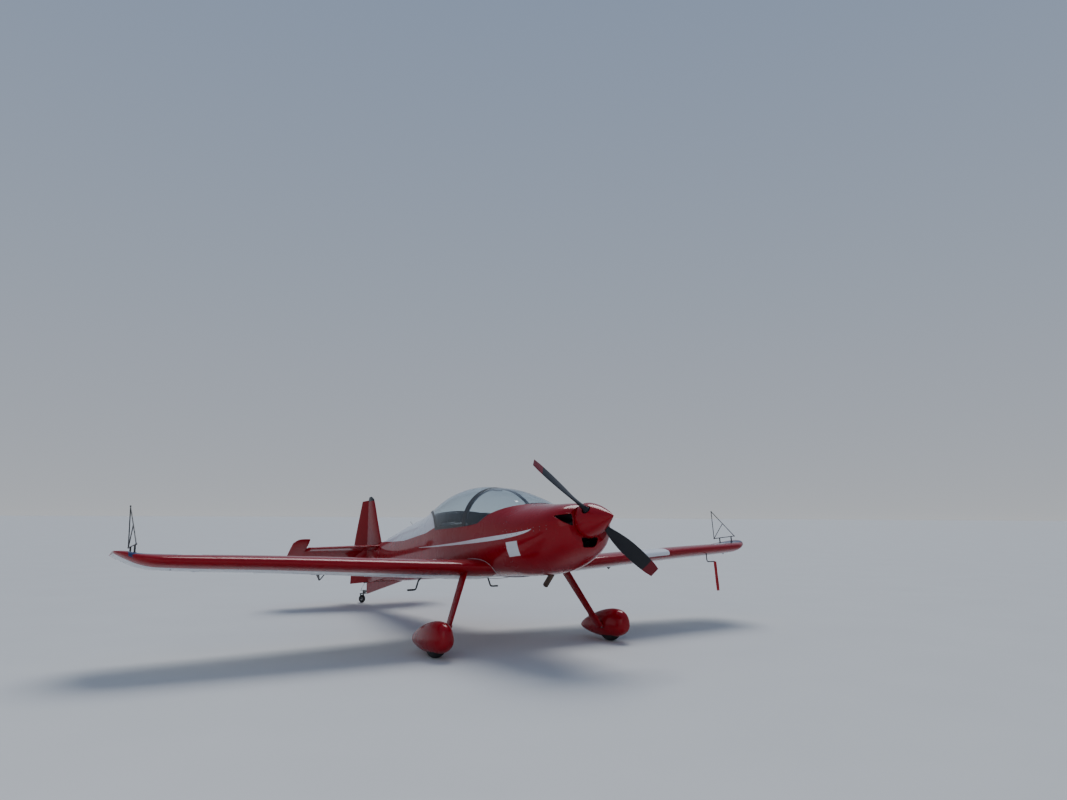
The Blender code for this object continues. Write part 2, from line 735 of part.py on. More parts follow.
# Windscreen, arch and canopy
def build_glazing():
    arch_front = ARCH_X + ARCH_WIDTH
    screen = shell("windscreen", arch_front + FIT, SILL[0][0] + 0.010, GLASS, "glass")
    keep(screen, above_sill("screen_edge", -0.9, 0.6, SEAM))
    arch = shell("windscreen_arch", ARCH_X, arch_front, ARCH_DEPTH, "black_paint")
    keep(arch, above_sill("arch_edge", -0.9, 0.6, SEAM))

    front = ARCH_X - CANOPY_GAP
    hood = make_empty("canopy_slide", (0.0, 0.0, 0.0), AIRFRAME)
    frame = shell("canopy_frame", CANOPY_REAR_X - 0.05, front, FRAME_DEPTH, "black_paint", hood)
    keep(frame, above_sill("canopy_edge", -3.0, 0.0, SEAM), ahead_of_edge("canopy_outline", 0.0))
    pane = add_object("canopy_pane", above_sill("canopy_pane", -3.0, front - FRAME_WIDTH, FRAME_WIDTH))
    keep(pane, ahead_of_edge("pane_outline", FRAME_BAND))
    cut(frame, pane)
    glass = shell("canopy_glass", CANOPY_REAR_X - 0.05, front - FRAME_WIDTH - FIT, GLASS, "glass", hood)
    keep(glass, above_sill("glass_edge", -3.0, 0.0, FRAME_WIDTH + FIT),
         ahead_of_edge("glass_outline", FRAME_BAND + SEAM))


# Turtledeck, tail cone, canopy track and antenna
def build_tail_body():
    deck = add_object("turtledeck", envelope("turtledeck", DECK_REAR_X, DECK_FRONT_X, -DECK_STEP), "white_paint")
    keep(deck, block("deck_band", (DECK_REAR_X - 0.1, -REACH, DECK_Z), (DECK_FRONT_X + 0.1, REACH, SKY)))
    cut(deck, ahead_of_edge("deck_outline", DECK_UNDERLAP))
    track = envelope("canopy_track", TRACK_REAR_X, CANOPY_REAR_X + DECK_UNDERLAP, TRACK_HEIGHT - DECK_STEP)
    track = add_object("canopy_track", track, "black_paint")
    keep(track, block("track_band", (TRACK_REAR_X - 0.1, -TRACK_HALF_WIDTH, DECK_Z),
                      (CANOPY_REAR_X, TRACK_HALF_WIDTH, SKY)))
    cut(track, envelope("track_seat", TRACK_REAR_X - 0.2, CANOPY_REAR_X + 0.1, SEAM - DECK_STEP))

    cone = add_object("tail_cone", envelope("tail_cone", GRID[0], TAIL_SPLIT_X - FIT), "red_paint")
    cut(cone, block("under_deck", (DECK_REAR_X - FIT, -REACH, DECK_Z - FIT), (TAIL_SPLIT_X + 0.1, REACH, SKY)))
    cut(cone, rod("torque_tube_bore", (ELEVATOR_X, -TAIL_HALF_WIDTH, TAIL_Z), (ELEVATOR_X, TAIL_HALF_WIDTH, TAIL_Z),
                  TORQUE_TUBE + SEAM, 20))
    gap = RUDDER[1][2] + RUDDER_HINGE_GAP
    low, high = RUDDER_GAP_Z
    post = [(rudder_hinge_x(z) + gap, z) for z in RUDDER_GAP_Z]
    behind = [(RUDDER_GAP_X, high), (RUDDER_GAP_X, low)]
    cut(cone, prism("rudder_gap", post + behind, -TAIL_HALF_WIDTH, TAIL_HALF_WIDTH))
    whip = add_antenna()
    front_x, rear_x = ANTENNA[0][0] + ANTENNA_MARGIN, ANTENNA[-1][0] - ANTENNA_MARGIN
    cut(whip, envelope("antenna_seat", rear_x, front_x, SEAM - DECK_STEP))


def add_antenna():
    path = [(x, ANTENNA_Y, z) for x, z in ANTENNA]
    return tube("antenna", path, ANTENNA_RADIUS, "black_paint", resolution=1)


def rudder_hinge_x(z):
    (low_x, low_z), (high_x, high_z) = RUDDER_HINGE
    return low_x + (high_x - low_x) * (z - low_z) / (high_z - low_z)


def airfoil(chord, thickness, count=AIRFOIL_POINTS):
    """A symmetric section from nose to tail: pairs of distance behind the nose and height."""
    upper = []
    for i in range(count):
        s = 0.5 * (1 - math.cos(math.pi * i / (count - 1)))
        curve = (0.2969 * math.sqrt(s) - 0.1260 * s - 0.3516 * s ** 2 + 0.2843 * s ** 3 - 0.1015 * s ** 4) / 0.1
        upper.append((s * chord, max(0.5 * thickness * curve, 0.0012) if i else 0.0))
    lower = [(s, -z) for s, z in reversed(upper[1:])]
    return upper + lower


def wing_row(y):
    rows = sorted(WING)
    for low, high in zip(rows, rows[1:]):
        if y <= high[0]:
            t = (y - low[0]) / (high[0] - low[0])
            return [a + (b - a) * t for a, b in zip(low[1:], high[1:])]
    return list(rows[-1][1:])


def wing_ring(row, sign, grow):
    y, nose, chord, height, thickness = row
    return [(nose + grow - s, sign * y, height + z)
            for s, z in airfoil(chord + 2 * grow, thickness + 2 * grow)]


def wing_body(name, sign, grow=0.0):
    return loft(name, [wing_ring(row, sign, grow) for row in WING])


def section_height(share, thickness):
    """Half the section's thickness at a share of its chord."""
    s = share
    curve = (0.2969 * math.sqrt(s) - 0.1260 * s - 0.3516 * s ** 2 + 0.2843 * s ** 3 - 0.1015 * s ** 4) / 0.1
    return 0.5 * thickness * curve


def hinge_at(y):
    """The aileron's straight hinge line at y: x, z and the radius of the aileron's nose."""
    ends = []
    for end in (AILERON_IN_Y, AILERON_OUT_Y):
        nose, chord, height, thickness = wing_row(end)
        ends.append((nose - HINGE_SHARE * chord, height, section_height(HINGE_SHARE, thickness) - 0.001))
    t = (y - AILERON_IN_Y) / (AILERON_OUT_Y - AILERON_IN_Y)
    return tuple(a + (b - a) * t for a, b in zip(*ends))


def hinge_direction(sign):
    """The hinge line's direction, always towards +y."""
    start, end = hinge_at(AILERON_IN_Y), hinge_at(AILERON_OUT_Y)
    along = Vector((end[0] - start[0], sign * (AILERON_OUT_Y - AILERON_IN_Y), end[1] - start[1]))
    return along.normalized() * sign


def nose_ring(y, sign, hinge, height, radius, tail):
    """A control surface's section: a round nose about its hinge, then flat sides to the tail."""
    ring = []
    steps = 6
    for i in range(steps):
        angle = math.pi / 2 - math.pi * i / (steps - 1)
        ring.append((hinge + radius * math.cos(angle), sign * y, height + radius * math.sin(angle)))
    ring.append((tail, sign * y, height - 0.0015))
    ring.append((tail, sign * y, height + 0.0015))
    return ring


def build_wings():
    for side, sign in SIDES:
        name = "wing_" + side
        wing = add_object(name, wing_body(name, sign), "red_paint")
        cut(wing, envelope("wing_root_" + side, *WING_ROOT_X, SEAT))
        corners = []
        for y in (AILERON_IN_Y, AILERON_OUT_Y):
            hinge, height, radius = hinge_at(y)
            corners.append((hinge + radius + SURFACE_GAP, sign * y))
        rear_x = WING[0][1] - WING[0][2]
        bay = corners + [(rear_x, sign * AILERON_OUT_Y), (rear_x, sign * AILERON_IN_Y)]
        cut(wing, prism("aileron_bay_" + side, bay, 0.0, SKY, "z"))
        lug = block("tie_down_" + side, (LUG_X[0], sign * LUG_Y - LUG_HALF_WIDTH, LUG_LOW_Z),
                    (LUG_X[1], sign * LUG_Y + LUG_HALF_WIDTH, LUG_HIGH_Z))
        join(wing, lug)
        build_aileron(side, sign)
        build_leg(side, sign)
        build_sight_frame(side, sign)


def horn_place(sign, ahead, above, beside):
    """A point of the horn, which lies square to the hinge line, measured from that line at HORN_Y."""
    hinge, height, _ = hinge_at(HORN_Y)
    along = hinge_direction(sign)
    front = (Vector((1.0, 0.0, 0.0)) - along * along.x).normalized()
    up = front.cross(along)
    return Vector((hinge, sign * HORN_Y, height)) + front * ahead + up * above + along * beside


def build_aileron(side, sign):
    low_y, high_y = AILERON_IN_Y + SURFACE_GAP, AILERON_OUT_Y - SURFACE_GAP
    pivot_x, pivot_z, _ = hinge_at(low_y)
    axis = make_empty("aileron_hinge_" + side, (pivot_x, sign * low_y, pivot_z), AIRFRAME)
    rings = []
    for y in (low_y, HORN_Y, AILERON_RIB_Y, high_y):
        nose, chord, height, thickness = wing_row(y)
        hinge, height, radius = hinge_at(y)
        rings.append(nose_ring(y, sign, hinge, height, radius, nose - chord))
    aileron = add_object("aileron_" + side, loft("aileron_" + side, rings), "red_paint")
    plate = [(0.25 * HORN_TIP, 0.0), (-HORN_REAR, 0.0), (HORN_TIP - HORN_TOE, -HORN_DROP),
             (HORN_TIP + HORN_LIP, -HORN_DROP), (HORN_FRONT, -HORN_KNEE)]
    half = HORN_THICKNESS / 2
    join(aileron, loft("horn_" + side, [[horn_place(sign, x, z, w) for x, z in plate] for w in (-half, half)]))
    for y, end in ((low_y, AILERON_IN_Y + PIN_GAP), (high_y, AILERON_OUT_Y - PIN_GAP)):
        x, z, _ = hinge_at(y)
        far_x, far_z, _ = hinge_at(end)
        toward = 0.01 if end > y else -0.01
        back_x, back_z, _ = hinge_at(y - toward)
        join(aileron, rod("pin_%s_%d" % (side, y), (back_x, sign * (y - toward), back_z),
                          (far_x, sign * end, far_z), HINGE_PIN, 12))
    rehome(aileron, axis)
    build_push_rod(side, sign)


def push_rod_line(sign):
    """The push rod's rear end at the horn's tip, and the way it moves as the trailing edge rises."""
    beside = -sign * (HORN_THICKNESS / 2 + PUSH_ROD_RADIUS + PIN_GAP)
    end = horn_place(sign, HORN_TIP, HORN_LIP - HORN_DROP, beside)
    arm = end - horn_place(sign, 0.0, 0.0, beside)
    return end, hinge_direction(sign).cross(arm)


def build_push_rod(side, sign):
    end, motion = push_rod_line(sign)
    along = -motion.normalized()
    slide = make_empty("push_rod_slide_" + side, end, AIRFRAME)
    bar = rod("aileron_push_rod_" + side, end - along * 0.012, end + along * PUSH_ROD_LENGTH, PUSH_ROD_RADIUS, 12)
    bar = add_object("aileron_push_rod_" + side, bar, "black_paint")
    rehome(bar, slide)
    wing = bpy.data.objects["wing_" + side]
    start = end + along * (PUSH_ROD_LENGTH * 0.45)
    stop = end + along * (PUSH_ROD_LENGTH + 0.075)
    cut(wing, rod("push_rod_slot_" + side, start, stop, PUSH_ROD_RADIUS + 0.012, 12))


def rehome(made, axis):
    """Move a part under its joint's empty, with its mesh measured from the hinge."""
    made.data.transform(Matrix.Translation(-Vector(axis.location)))
    made.parent = axis
    for step in made.modifiers:
        if step.type == "BOOLEAN" and step.object.parent == AIRFRAME:
            step.object.data.transform(Matrix.Translation(-Vector(axis.location)))
            step.object.parent = axis


def leg_ring(t, sign, grow):
    """A flat streamlined section of the leg, level, at a share of the way down."""
    x, y, z = (a + (b - a) * t for a, b in zip(LEG_TOP, LEG_FOOT))
    half_chord = (LEG_CHORD_TOP + (LEG_CHORD_FOOT - LEG_CHORD_TOP) * t) / 2 + grow
    half_thickness = LEG_THICKNESS / 2 + grow
    ring = []
    for i in range(LEG_POINTS):
        angle = 2 * math.pi * i / LEG_POINTS
        c, s = math.cos(angle), math.sin(angle)
        ring.append((x + half_chord * c, sign * (y + half_thickness * s * (1.0 + 0.25 * c)), z))
    return ring


def build_leg(side, sign):
    name = "gear_leg_" + side
    leg = add_object(name, loft(name, [leg_ring(t, sign, 0.0) for t in (0.0, 0.5, 1.0)]), "red_paint")
    cut(leg, wing_body("leg_seat_" + side, sign, FIT))
    inner = (AXLE[0], sign * AXLE_INNER_Y, AXLE[1])
    outer = (AXLE[0], sign * AXLE_OUTER_Y, AXLE[1])
    join(leg, rod("axle_" + side, inner, outer, AXLE_RADIUS, 20))
    build_pant(side, sign)
    build_wheel(side, sign)


def pant_fullness(s):
    """The wheel fairing's width and height at a share of its length, from nose to tail."""
    curve = 0.2969 * math.sqrt(s) - 0.1260 * s - 0.3516 * s ** 2 + 0.2843 * s ** 3 - 0.1015 * s ** 4
    return (max(curve, 0.0) / 0.1) ** PANT_BLUNTNESS


def pant_ring(s, sign):
    full = pant_fullness(s)
    x = AXLE[0] + PANT_FRONT + (PANT_REAR - PANT_FRONT) * s
    middle = AXLE[1] + PANT_TAIL_LIFT * (1 - full)
    ring = []
    for j in range(PANT_POINTS):
        angle = 2 * math.pi * (j + 0.5) / PANT_POINTS
        c, n = math.cos(angle), math.sin(angle)
        reach = PANT_TOP if n > 0 else -PANT_BOTTOM
        side = PANT_HALF_WIDTH * full * math.copysign(abs(c) ** 0.9, c)
        ring.append((x, sign * (TRACK / 2 + side), middle + reach * full * math.copysign(abs(n) ** 0.9, n)))
    return ring


def wheel_well(side, sign):
    """The hollow that the wheel turns in, narrower towards its sides as the tyre is."""
    rows = [(-half, clear) for half, clear in WELL[::-1]] + list(WELL)
    rings = []
    for half, clear in rows:
        radius = TYRE_RADIUS + clear
        angles = [2 * math.pi * i / WELL_POINTS for i in range(WELL_POINTS)]
        rings.append([(AXLE[0] + radius * math.cos(a), sign * TRACK / 2 + half, AXLE[1] + radius * math.sin(a))
                      for a in angles])
    return loft("wheel_well_" + side, rings)


def build_pant(side, sign):
    name = "wheel_pant_" + side
    shares = [0.5 * (1 - math.cos(math.pi * (0.04 + 0.93 * i / 9))) for i in range(10)]
    pant = add_object(name, loft(name, [pant_ring(s, sign) for s in shares]), "red_paint")
    join(pant, loft("leg_cuff_" + side, [leg_ring(t, sign, LEG_CUFF) for t in (0.80, 1.0)]))
    cut(pant, wheel_well(side, sign))
    cut(pant, loft("leg_slot_" + side, [leg_ring(t, sign, SEAM) for t in (0.5, 1.02)]))
    cut(pant, rod("axle_slot_" + side, (AXLE[0], sign * (AXLE_INNER_Y - 0.02), AXLE[1]),
                  (AXLE[0], sign * (AXLE_OUTER_Y + FIT), AXLE[1]), AXLE_RADIUS + SEAM, 20))


def build_wheel(side, sign):
    half = TYRE_WIDTH / 2
    axis = make_empty("main_wheel_axle_" + side, (AXLE[0], sign * TRACK / 2, AXLE[1]), AIRFRAME)
    upright = (math.pi / 2, 0.0, 0.0)
    tyre = [(TYRE_RADIUS, 0.30 * half), (TYRE_RADIUS, -0.30 * half), (TYRE_RADIUS - 0.014, -0.80 * half),
            (TYRE_RADIUS - 0.040, -half), (RIM_RADIUS, -0.70 * half), (RIM_RADIUS, 0.70 * half),
            (TYRE_RADIUS - 0.040, half), (TYRE_RADIUS - 0.014, 0.80 * half)]
    turned("tyre_" + side, tyre, "rubber", axis, upright, 28)
    bore = AXLE_RADIUS + SEAM
    rim = RIM_RADIUS - SEAM
    hub = [(rim, 0.74 * half), (rim, -0.74 * half), (rim - 0.012, -0.74 * half), (rim - 0.014, -0.35 * half),
           (0.036, -0.35 * half), (0.034, -half), (bore, -half), (bore, half), (0.034, half), (0.036, 0.35 * half),
           (rim - 0.014, 0.35 * half), (rim - 0.012, 0.74 * half)]
    turned("wheel_hub_" + side, hub, "alloy", axis, upright, 16)


def build_sight_frame(side, sign):
    name = "sight_frame_" + side

    def spot(place):
        return Vector((place[0], sign * place[1], place[2]))
    apex, aft, fore = spot(SIGHT_APEX), spot(SIGHT_AFT), spot(SIGHT_FORE)
    frame = add_object(name, rod(name, aft, apex, SIGHT_ROD, 6), "black_paint")
    middle = (apex + fore) / 2
    overrun = 0.5 * SIGHT_ROD
    for label, a, b in (("hypotenuse", apex, fore), ("base", fore, aft), ("strut", aft, middle)):
        along = (b - a).normalized() * overrun
        join(frame, rod("%s_%s" % (label, side), a - along, b + along, SIGHT_ROD, 6))
    for label, share in (("fore_post", 0.16), ("aft_post", 0.72)):
        top = fore + (aft - fore) * share
        foot = top - Vector((0.0, 0.0, SIGHT_POST_DROP))
        join(frame, rod("%s_%s" % (label, side), foot, top, SIGHT_POST, 8))
    cut(frame, wing_body("sight_seat_" + side, sign, FIT))


# Tail surfaces
def tail_ring(y, nose, thickness, grow=0.0):
    """A stabiliser section: an airfoil nose that is cut off flat ahead of the hinge."""
    rear = ELEVATOR_X + ELEVATOR[-1][2] + 0.014
    return flat_back_section(nose, rear, thickness, grow, lambda x, h: (x, y, TAIL_Z + h))


def flat_back_section(nose, rear, thickness, grow, place):
    half = thickness / 2 + grow
    length = nose - rear
    shares = (0.0, 0.03, 0.10, 0.25, 0.50, 1.0)
    upper = []
    for s in shares:
        height = half * (1 - (1 - min(s / 0.5, 1.0)) ** 2) ** 0.5 * (1.0 if s < 0.9 else 0.86)
        upper.append((nose + grow - s * (length + 2 * grow), height))
    points = upper + [(x, -h) for x, h in reversed(upper[1:])]
    return [place(x, h) for x, h in points]


def build_tailplane():
    rows = [(-y, nose, t) for y, nose, t in reversed(TAILPLANE[1:])] + list(TAILPLANE)
    add_object("tailplane", loft("tailplane", [tail_ring(*row) for row in rows]), "red_paint")
    cutter = add_object("tailplane_slot", loft("tailplane_slot", [tail_ring(*row, FIT) for row in rows]))
    for name in ("tail_cone", "turtledeck"):
        cut(bpy.data.objects[name], cutter)
    axis = make_empty("elevator_hinge", (ELEVATOR_X, 0.0, TAIL_Z), AIRFRAME)
    for side, sign in SIDES:
        name = "elevator_" + side
        rings = [nose_ring(y, sign, ELEVATOR_X, TAIL_Z, radius, tail) for y, tail, radius in ELEVATOR]
        surface = add_object(name, loft(name, rings), "red_paint")
        root = (ELEVATOR[-1][0] - 0.004, *ELEVATOR_HORN[0][1:])
        rows = (root,) + ELEVATOR_HORN[1:]
        join(surface, loft("elevator_horn_" + side, [horn_ring(sign * y, *rest) for y, *rest in rows]))
        rehome(surface, axis)
    end = ELEVATOR[0][0] - FIT
    torque = rod("elevator_torque_tube", (ELEVATOR_X, -end, TAIL_Z), (ELEVATOR_X, end, TAIL_Z), TORQUE_TUBE, 20)
    rehome(add_object("elevator_torque_tube", torque, "steel"), axis)
    axis.rotation_euler = (0.0, -math.radians(ELEVATOR_DROOP), 0.0)


def horn_ring(y, nose, tail, thickness):
    return [(nose - s, y, TAIL_Z + h) for s, h in airfoil(nose - tail, thickness, 8)]


def build_fin():
    gap = RUDDER[1][2] + RUDDER_HINGE_GAP

    def section(z, nose, thickness):
        return flat_back_section(nose, rudder_hinge_x(z) + gap, thickness, 0.0, lambda x, h: (x, h, z))
    fin = add_object("fin", loft("fin", [section(*row) for row in FIN]), "red_paint")
    cut(fin, envelope("fin_seat", GRID[0], -3.74, SEAT))
    cut(fin, bpy.data.objects["tailplane_slot"], bpy.data.objects["torque_tube_bore"])


def build_rudder():
    foot = Vector((RUDDER_HINGE[0][0], 0.0, RUDDER_HINGE[0][1]))
    top = Vector((RUDDER_HINGE[1][0], 0.0, RUDDER_HINGE[1][1]))
    up = (top - foot).normalized()
    axis = make_empty("rudder_hinge", foot, AIRFRAME)
    rings = []
    for z, chord, radius in RUDDER:
        hinge = rudder_hinge_x(z)
        rings.append([(x, height, z) for x, _, height in nose_ring(0.0, 1.0, hinge, 0.0, radius, hinge - chord)])
    rudder = add_object("rudder", loft("rudder", rings), "red_paint")
    middle = rudder_hinge_x(RUDDER_BAR_Z)
    join(rudder, block("rudder_bar", (middle - BAR_HALF_WIDTH, -STEERING_ARM - BAR_HALF_WIDTH, RUDDER_BAR_Z),
                       (middle + BAR_HALF_WIDTH, STEERING_ARM + BAR_HALF_WIDTH, RUDDER_BAR_Z + BAR_THICKNESS)))
    pin_low = foot + up * (VENTRAL_TOP_Z + HEEL_GAP - foot.z)
    join(rudder, rod("rudder_heel_pin", pin_low, foot + up * 0.02, 0.008, 12))
    rehome(rudder, axis)
    axis.rotation_mode = "QUATERNION"
    axis.rotation_quaternion = Quaternion(up, math.radians(RUDDER_REST))


def steering_end(sign, pivot_x):
    """Where a steering link meets an arm that has turned with the rudder."""
    turn = math.radians(RUDDER_REST)
    return pivot_x - sign * STEERING_ARM * math.sin(turn), sign * STEERING_ARM * math.cos(turn)


def build_steering_links():
    """A light rod each side from the rudder's bar down to the tail wheel's bar."""
    for side, sign in SIDES:
        high_x, high_y = steering_end(sign, rudder_hinge_x(RUDDER_BAR_Z))
        low_x, low_y = steering_end(sign, SWIVEL_X)
        top = (high_x, high_y, RUDDER_BAR_Z - LINK_GAP)
        foot = (low_x, low_y, STEERING_BAR_Z + LINK_GAP)
        slide = make_empty("steering_slide_" + side, top, AIRFRAME)
        link = add_object("steering_link_" + side, rod("steering_link_" + side, foot, top, LINK_RADIUS, 8), "steel")
        rehome(link, slide)


def ventral_shape(name):
    half = VENTRAL_THICKNESS / 2
    heel_x, notch_x = VENTRAL_NOTCH_X
    rear_z, front_z = VENTRAL_INSIDE_Z
    outline = [VENTRAL_FRONT, VENTRAL_REAR, (VENTRAL_REAR[0], VENTRAL_TOP_Z), (heel_x, VENTRAL_TOP_Z),
               (notch_x, rear_z), (VENTRAL_FRONT[0], front_z)]
    return prism(name, outline, -half, half)


def build_ventral_and_tail_wheel():
    fin = add_object("ventral_fin", ventral_shape("ventral_fin"), "red_paint")
    cut(fin, envelope("ventral_seat", GRID[0], -3.25, SEAT))
    leaf = block("tail_spring", (SWIVEL_X, -LEAF_HALF_WIDTH, SWIVEL_LOW + 0.006),
                 (VENTRAL_REAR[0] - FIT, LEAF_HALF_WIDTH, SWIVEL_HIGH - 0.006))
    spring = add_object("tail_spring", leaf, "black_paint")
    foot, top = (SWIVEL_X, 0.0, SWIVEL_LOW), (SWIVEL_X, 0.0, SWIVEL_HIGH)
    join(spring, rod("swivel_boss", foot, top, SWIVEL_BOSS, 20))
    cut(spring, rod("swivel_bore", (SWIVEL_X, 0.0, SWIVEL_LOW - 0.02), (SWIVEL_X, 0.0, SWIVEL_HIGH + 0.02),
                    SWIVEL_RADIUS + SEAM, 20))
    build_tail_fork()


def build_tail_fork():
    swivel = make_empty("tail_wheel_swivel", (SWIVEL_X, 0.0, SWIVEL_LOW), AIRFRAME)
    crown_high = SWIVEL_LOW - FIT
    crown_low = crown_high - CROWN_THICKNESS
    fork = add_object("tail_fork", block(
        "tail_fork", (TAIL_AXLE[0] - 0.016, -FORK_HALF_WIDTH, crown_low),
        (SWIVEL_X + 0.020, FORK_HALF_WIDTH, crown_high)), "black_paint")
    join(fork, rod("swivel_post", (SWIVEL_X, 0.0, crown_low + 0.004), (SWIVEL_X, 0.0, STEERING_BAR_Z - 0.001),
                   SWIVEL_RADIUS, 20))
    join(fork, block("steering_bar", (SWIVEL_X - BAR_HALF_WIDTH, -STEERING_ARM - BAR_HALF_WIDTH, SWIVEL_HIGH + 0.002),
                     (SWIVEL_X + BAR_HALF_WIDTH, STEERING_ARM + BAR_HALF_WIDTH, STEERING_BAR_Z)))
    for side, sign in SIDES:
        near, far = sorted((sign * (FORK_HALF_WIDTH - FORK_ARM), sign * (FORK_HALF_WIDTH - 0.0002)))
        join(fork, block("fork_arm_" + side, (TAIL_AXLE[0] - 0.012, near, TAIL_AXLE[1] - 0.012),
                         (TAIL_AXLE[0] + 0.012, far, crown_low + 0.004)))
    reach = FORK_HALF_WIDTH - 0.003
    join(fork, rod("tail_axle", (TAIL_AXLE[0], -reach, TAIL_AXLE[1]), (TAIL_AXLE[0], reach, TAIL_AXLE[1]),
                   TAIL_AXLE_RADIUS, 12))
    rehome(fork, swivel)
    wheel_axis = make_empty("tail_wheel_axle", (TAIL_AXLE[0] - SWIVEL_X, 0.0, TAIL_AXLE[1] - SWIVEL_LOW), swivel)
    half = TAIL_TYRE_WIDTH / 2
    radius = TAIL_TYRE_RADIUS
    bore = TAIL_AXLE_RADIUS + SEAM
    profile = [(radius, 0.35 * half), (radius, -0.35 * half), (radius - 0.012, -half), (bore, -half),
               (bore, half), (radius - 0.012, half)]
    turned("tail_wheel", profile, "rubber", wheel_axis, (math.pi / 2, 0.0, 0.0), 20)
    swivel.rotation_euler = (0.0, 0.0, math.radians(RUDDER_REST))


# Boarding steps, pitot tube and streamer
def build_small_parts():
    for side, sign in SIDES:
        path = [(x, sign * y, z) for x, y, z in STEP]
        step = tube("boarding_step_" + side, path, STEP_RADIUS, "black_paint", resolution=1)
        cut(step, envelope("step_seat_" + side, STEP[0][0] - STEP_MARGIN, STEP[0][0] + STEP_MARGIN, SEAT))
    path = [(x, PITOT_Y, z) for x, z in PITOT]
    pitot = tube("pitot_tube", path, PITOT_RADIUS, "black_paint", resolution=1)
    cut(pitot, wing_body("pitot_seat", 1.0, FIT))
    tip_x, tip_z = PITOT[-1]
    flag = block("pitot_streamer", (tip_x + FIT, PITOT_Y - STREAMER[0] / 2, tip_z - STREAMER[1]),
                 (tip_x + FIT + STREAMER[2], PITOT_Y + STREAMER[0] / 2, tip_z))
    add_object("pitot_streamer", flag, "streamer")


# Propeller
def blade_mesh(name, direction):
    """A round cuff that runs into a twisted blade, from the hub outwards."""
    along = Vector((0.0, BLADE_TIP_SIDE * direction, math.sqrt(1 - BLADE_TIP_SIDE ** 2) * direction))
    forward = Vector((1.0, 0.0, 0.0))
    sweep = forward.cross(along)
    centre = Vector((PROP_X, 0.0, THRUST_Z))
    angles = [2 * math.pi * i / BLADE_POINTS for i in range(BLADE_POINTS)]

    def ring(reach, edge, face, half_chord, half_thickness):
        middle = centre + along * reach
        return [middle + edge * (half_chord * math.cos(a)) + face * (half_thickness * math.sin(a)) for a in angles]
    rings = []
    for reach in (HUB_RADIUS + FIT, CUFF_END):
        rings.append(ring(reach, sweep, forward, CUFF_RADIUS, CUFF_RADIUS))
    for share, chord, thickness, pitch in BLADE:
        turn = math.radians(pitch)
        edge = sweep * math.cos(turn) + forward * math.sin(turn)
        face = forward * math.cos(turn) - sweep * math.sin(turn)
        rings.append(ring(share * PROP_RADIUS, edge, face, chord / 2, thickness / 2))
    return loft(name, rings), along


def spinner_radius(share):
    """The spinner's radius at a share of its length, pointed at the tip."""
    return SPINNER_RADIUS * (1 - share ** SPINNER_POINT)


def spinner_profile(inset, count=8):
    length = SPINNER_TIP_X - SPINNER_BACK_X
    shares = [i / count for i in range(count + 1)]
    return [(max(spinner_radius(s) - inset, 0.0), SPINNER_BACK_X + s * (length - inset)) for s in shares]


def build_propeller():
    axis = make_empty("propeller_axis", (0.0, 0.0, THRUST_Z), AIRFRAME)
    profile = spinner_profile(0.0) + spinner_profile(SPINNER_WALL)[::-1]
    spinner = turned("spinner", profile[::-1], "red_paint", axis, (0.0, math.pi / 2, 0.0), 28)
    hub = rod("prop_hub", (HUB_REAR_X, 0.0, THRUST_Z), (PROP_X + HUB_RADIUS, 0.0, THRUST_Z), HUB_RADIUS, 24)
    hub = add_object("prop_hub", hub, "alloy")
    join(hub, rod("spinner_plate", (SPINNER_BACK_X + 0.003, 0.0, THRUST_Z), (SPINNER_BACK_X + 0.008, 0.0, THRUST_Z),
                  SPINNER_RADIUS - SPINNER_WALL - PLATE_GAP, 28))
    rehome(hub, axis)
    centre = Vector((PROP_X, 0.0, THRUST_Z))
    for number, direction in (("1", 1.0), ("2", -1.0)):
        mesh, along = blade_mesh("blade_" + number, direction)
        cut(spinner, rod("spinner_hole_" + number, centre + along * 0.10, centre + along * 0.30, SPINNER_HOLE, 20))
        rehome(add_object("blade_" + number, mesh, "black_blade"), axis)


def park():
    """Pitch the airframe until both wheels' lowest points are level, and centre it over the origin."""
    reach_x = AXLE[0] - TAIL_AXLE[0]
    reach_z = AXLE[1] - TAIL_AXLE[1]
    size = math.hypot(reach_x, reach_z)
    pitch = math.asin((TYRE_RADIUS - TAIL_TYRE_RADIUS) / size) - math.atan2(reach_z, reach_x)
    AIRFRAME.rotation_euler = (0.0, -pitch, 0.0)
    AIRFRAME.location = (0.0, 0.0, TYRE_RADIUS - AXLE[0] * math.sin(pitch) - AXLE[1] * math.cos(pitch))
    bpy.context.view_layer.update()
    depsgraph = bpy.context.evaluated_depsgraph_get()
    lows, highs = [], []
    for made in PARTS.objects:
        if made.type != "MESH":
            continue
        shown = made.evaluated_get(depsgraph)
        places = [shown.matrix_world @ vertex.co for vertex in shown.data.vertices]
        lows.append([min(place[i] for place in places) for i in range(3)])
        highs.append([max(place[i] for place in places) for i in range(3)])
    for i in range(2):
        AIRFRAME.location[i] -= (min(low[i] for low in lows) + max(high[i] for high in highs)) / 2
    AIRFRAME.location[2] -= min(low[2] for low in lows)
    bpy.context.view_layer.update()


build_cowl()
build_firewall_and_engine()
build_cabin()
build_seats()
build_glazing()
build_tail_body()
build_wings()
build_tailplane()
build_fin()
build_rudder()
build_ventral_and_tail_wheel()
build_steering_links()
build_small_parts()
build_propeller()
park()
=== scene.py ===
# %% [markdown]
# # Dressing a light aircraft
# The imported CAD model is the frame: every piece has its place, and every moving piece its joint.
# This lesson puts smooth skins, paint, glass and small fittings round it. The big surfaces of an
# aircraft are lofts, so each is drawn again from a few cross-sections, much finer than the CAD's.

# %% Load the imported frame
import json
import math

import bmesh
import bpy
from mathutils import Matrix, Quaternion, Vector


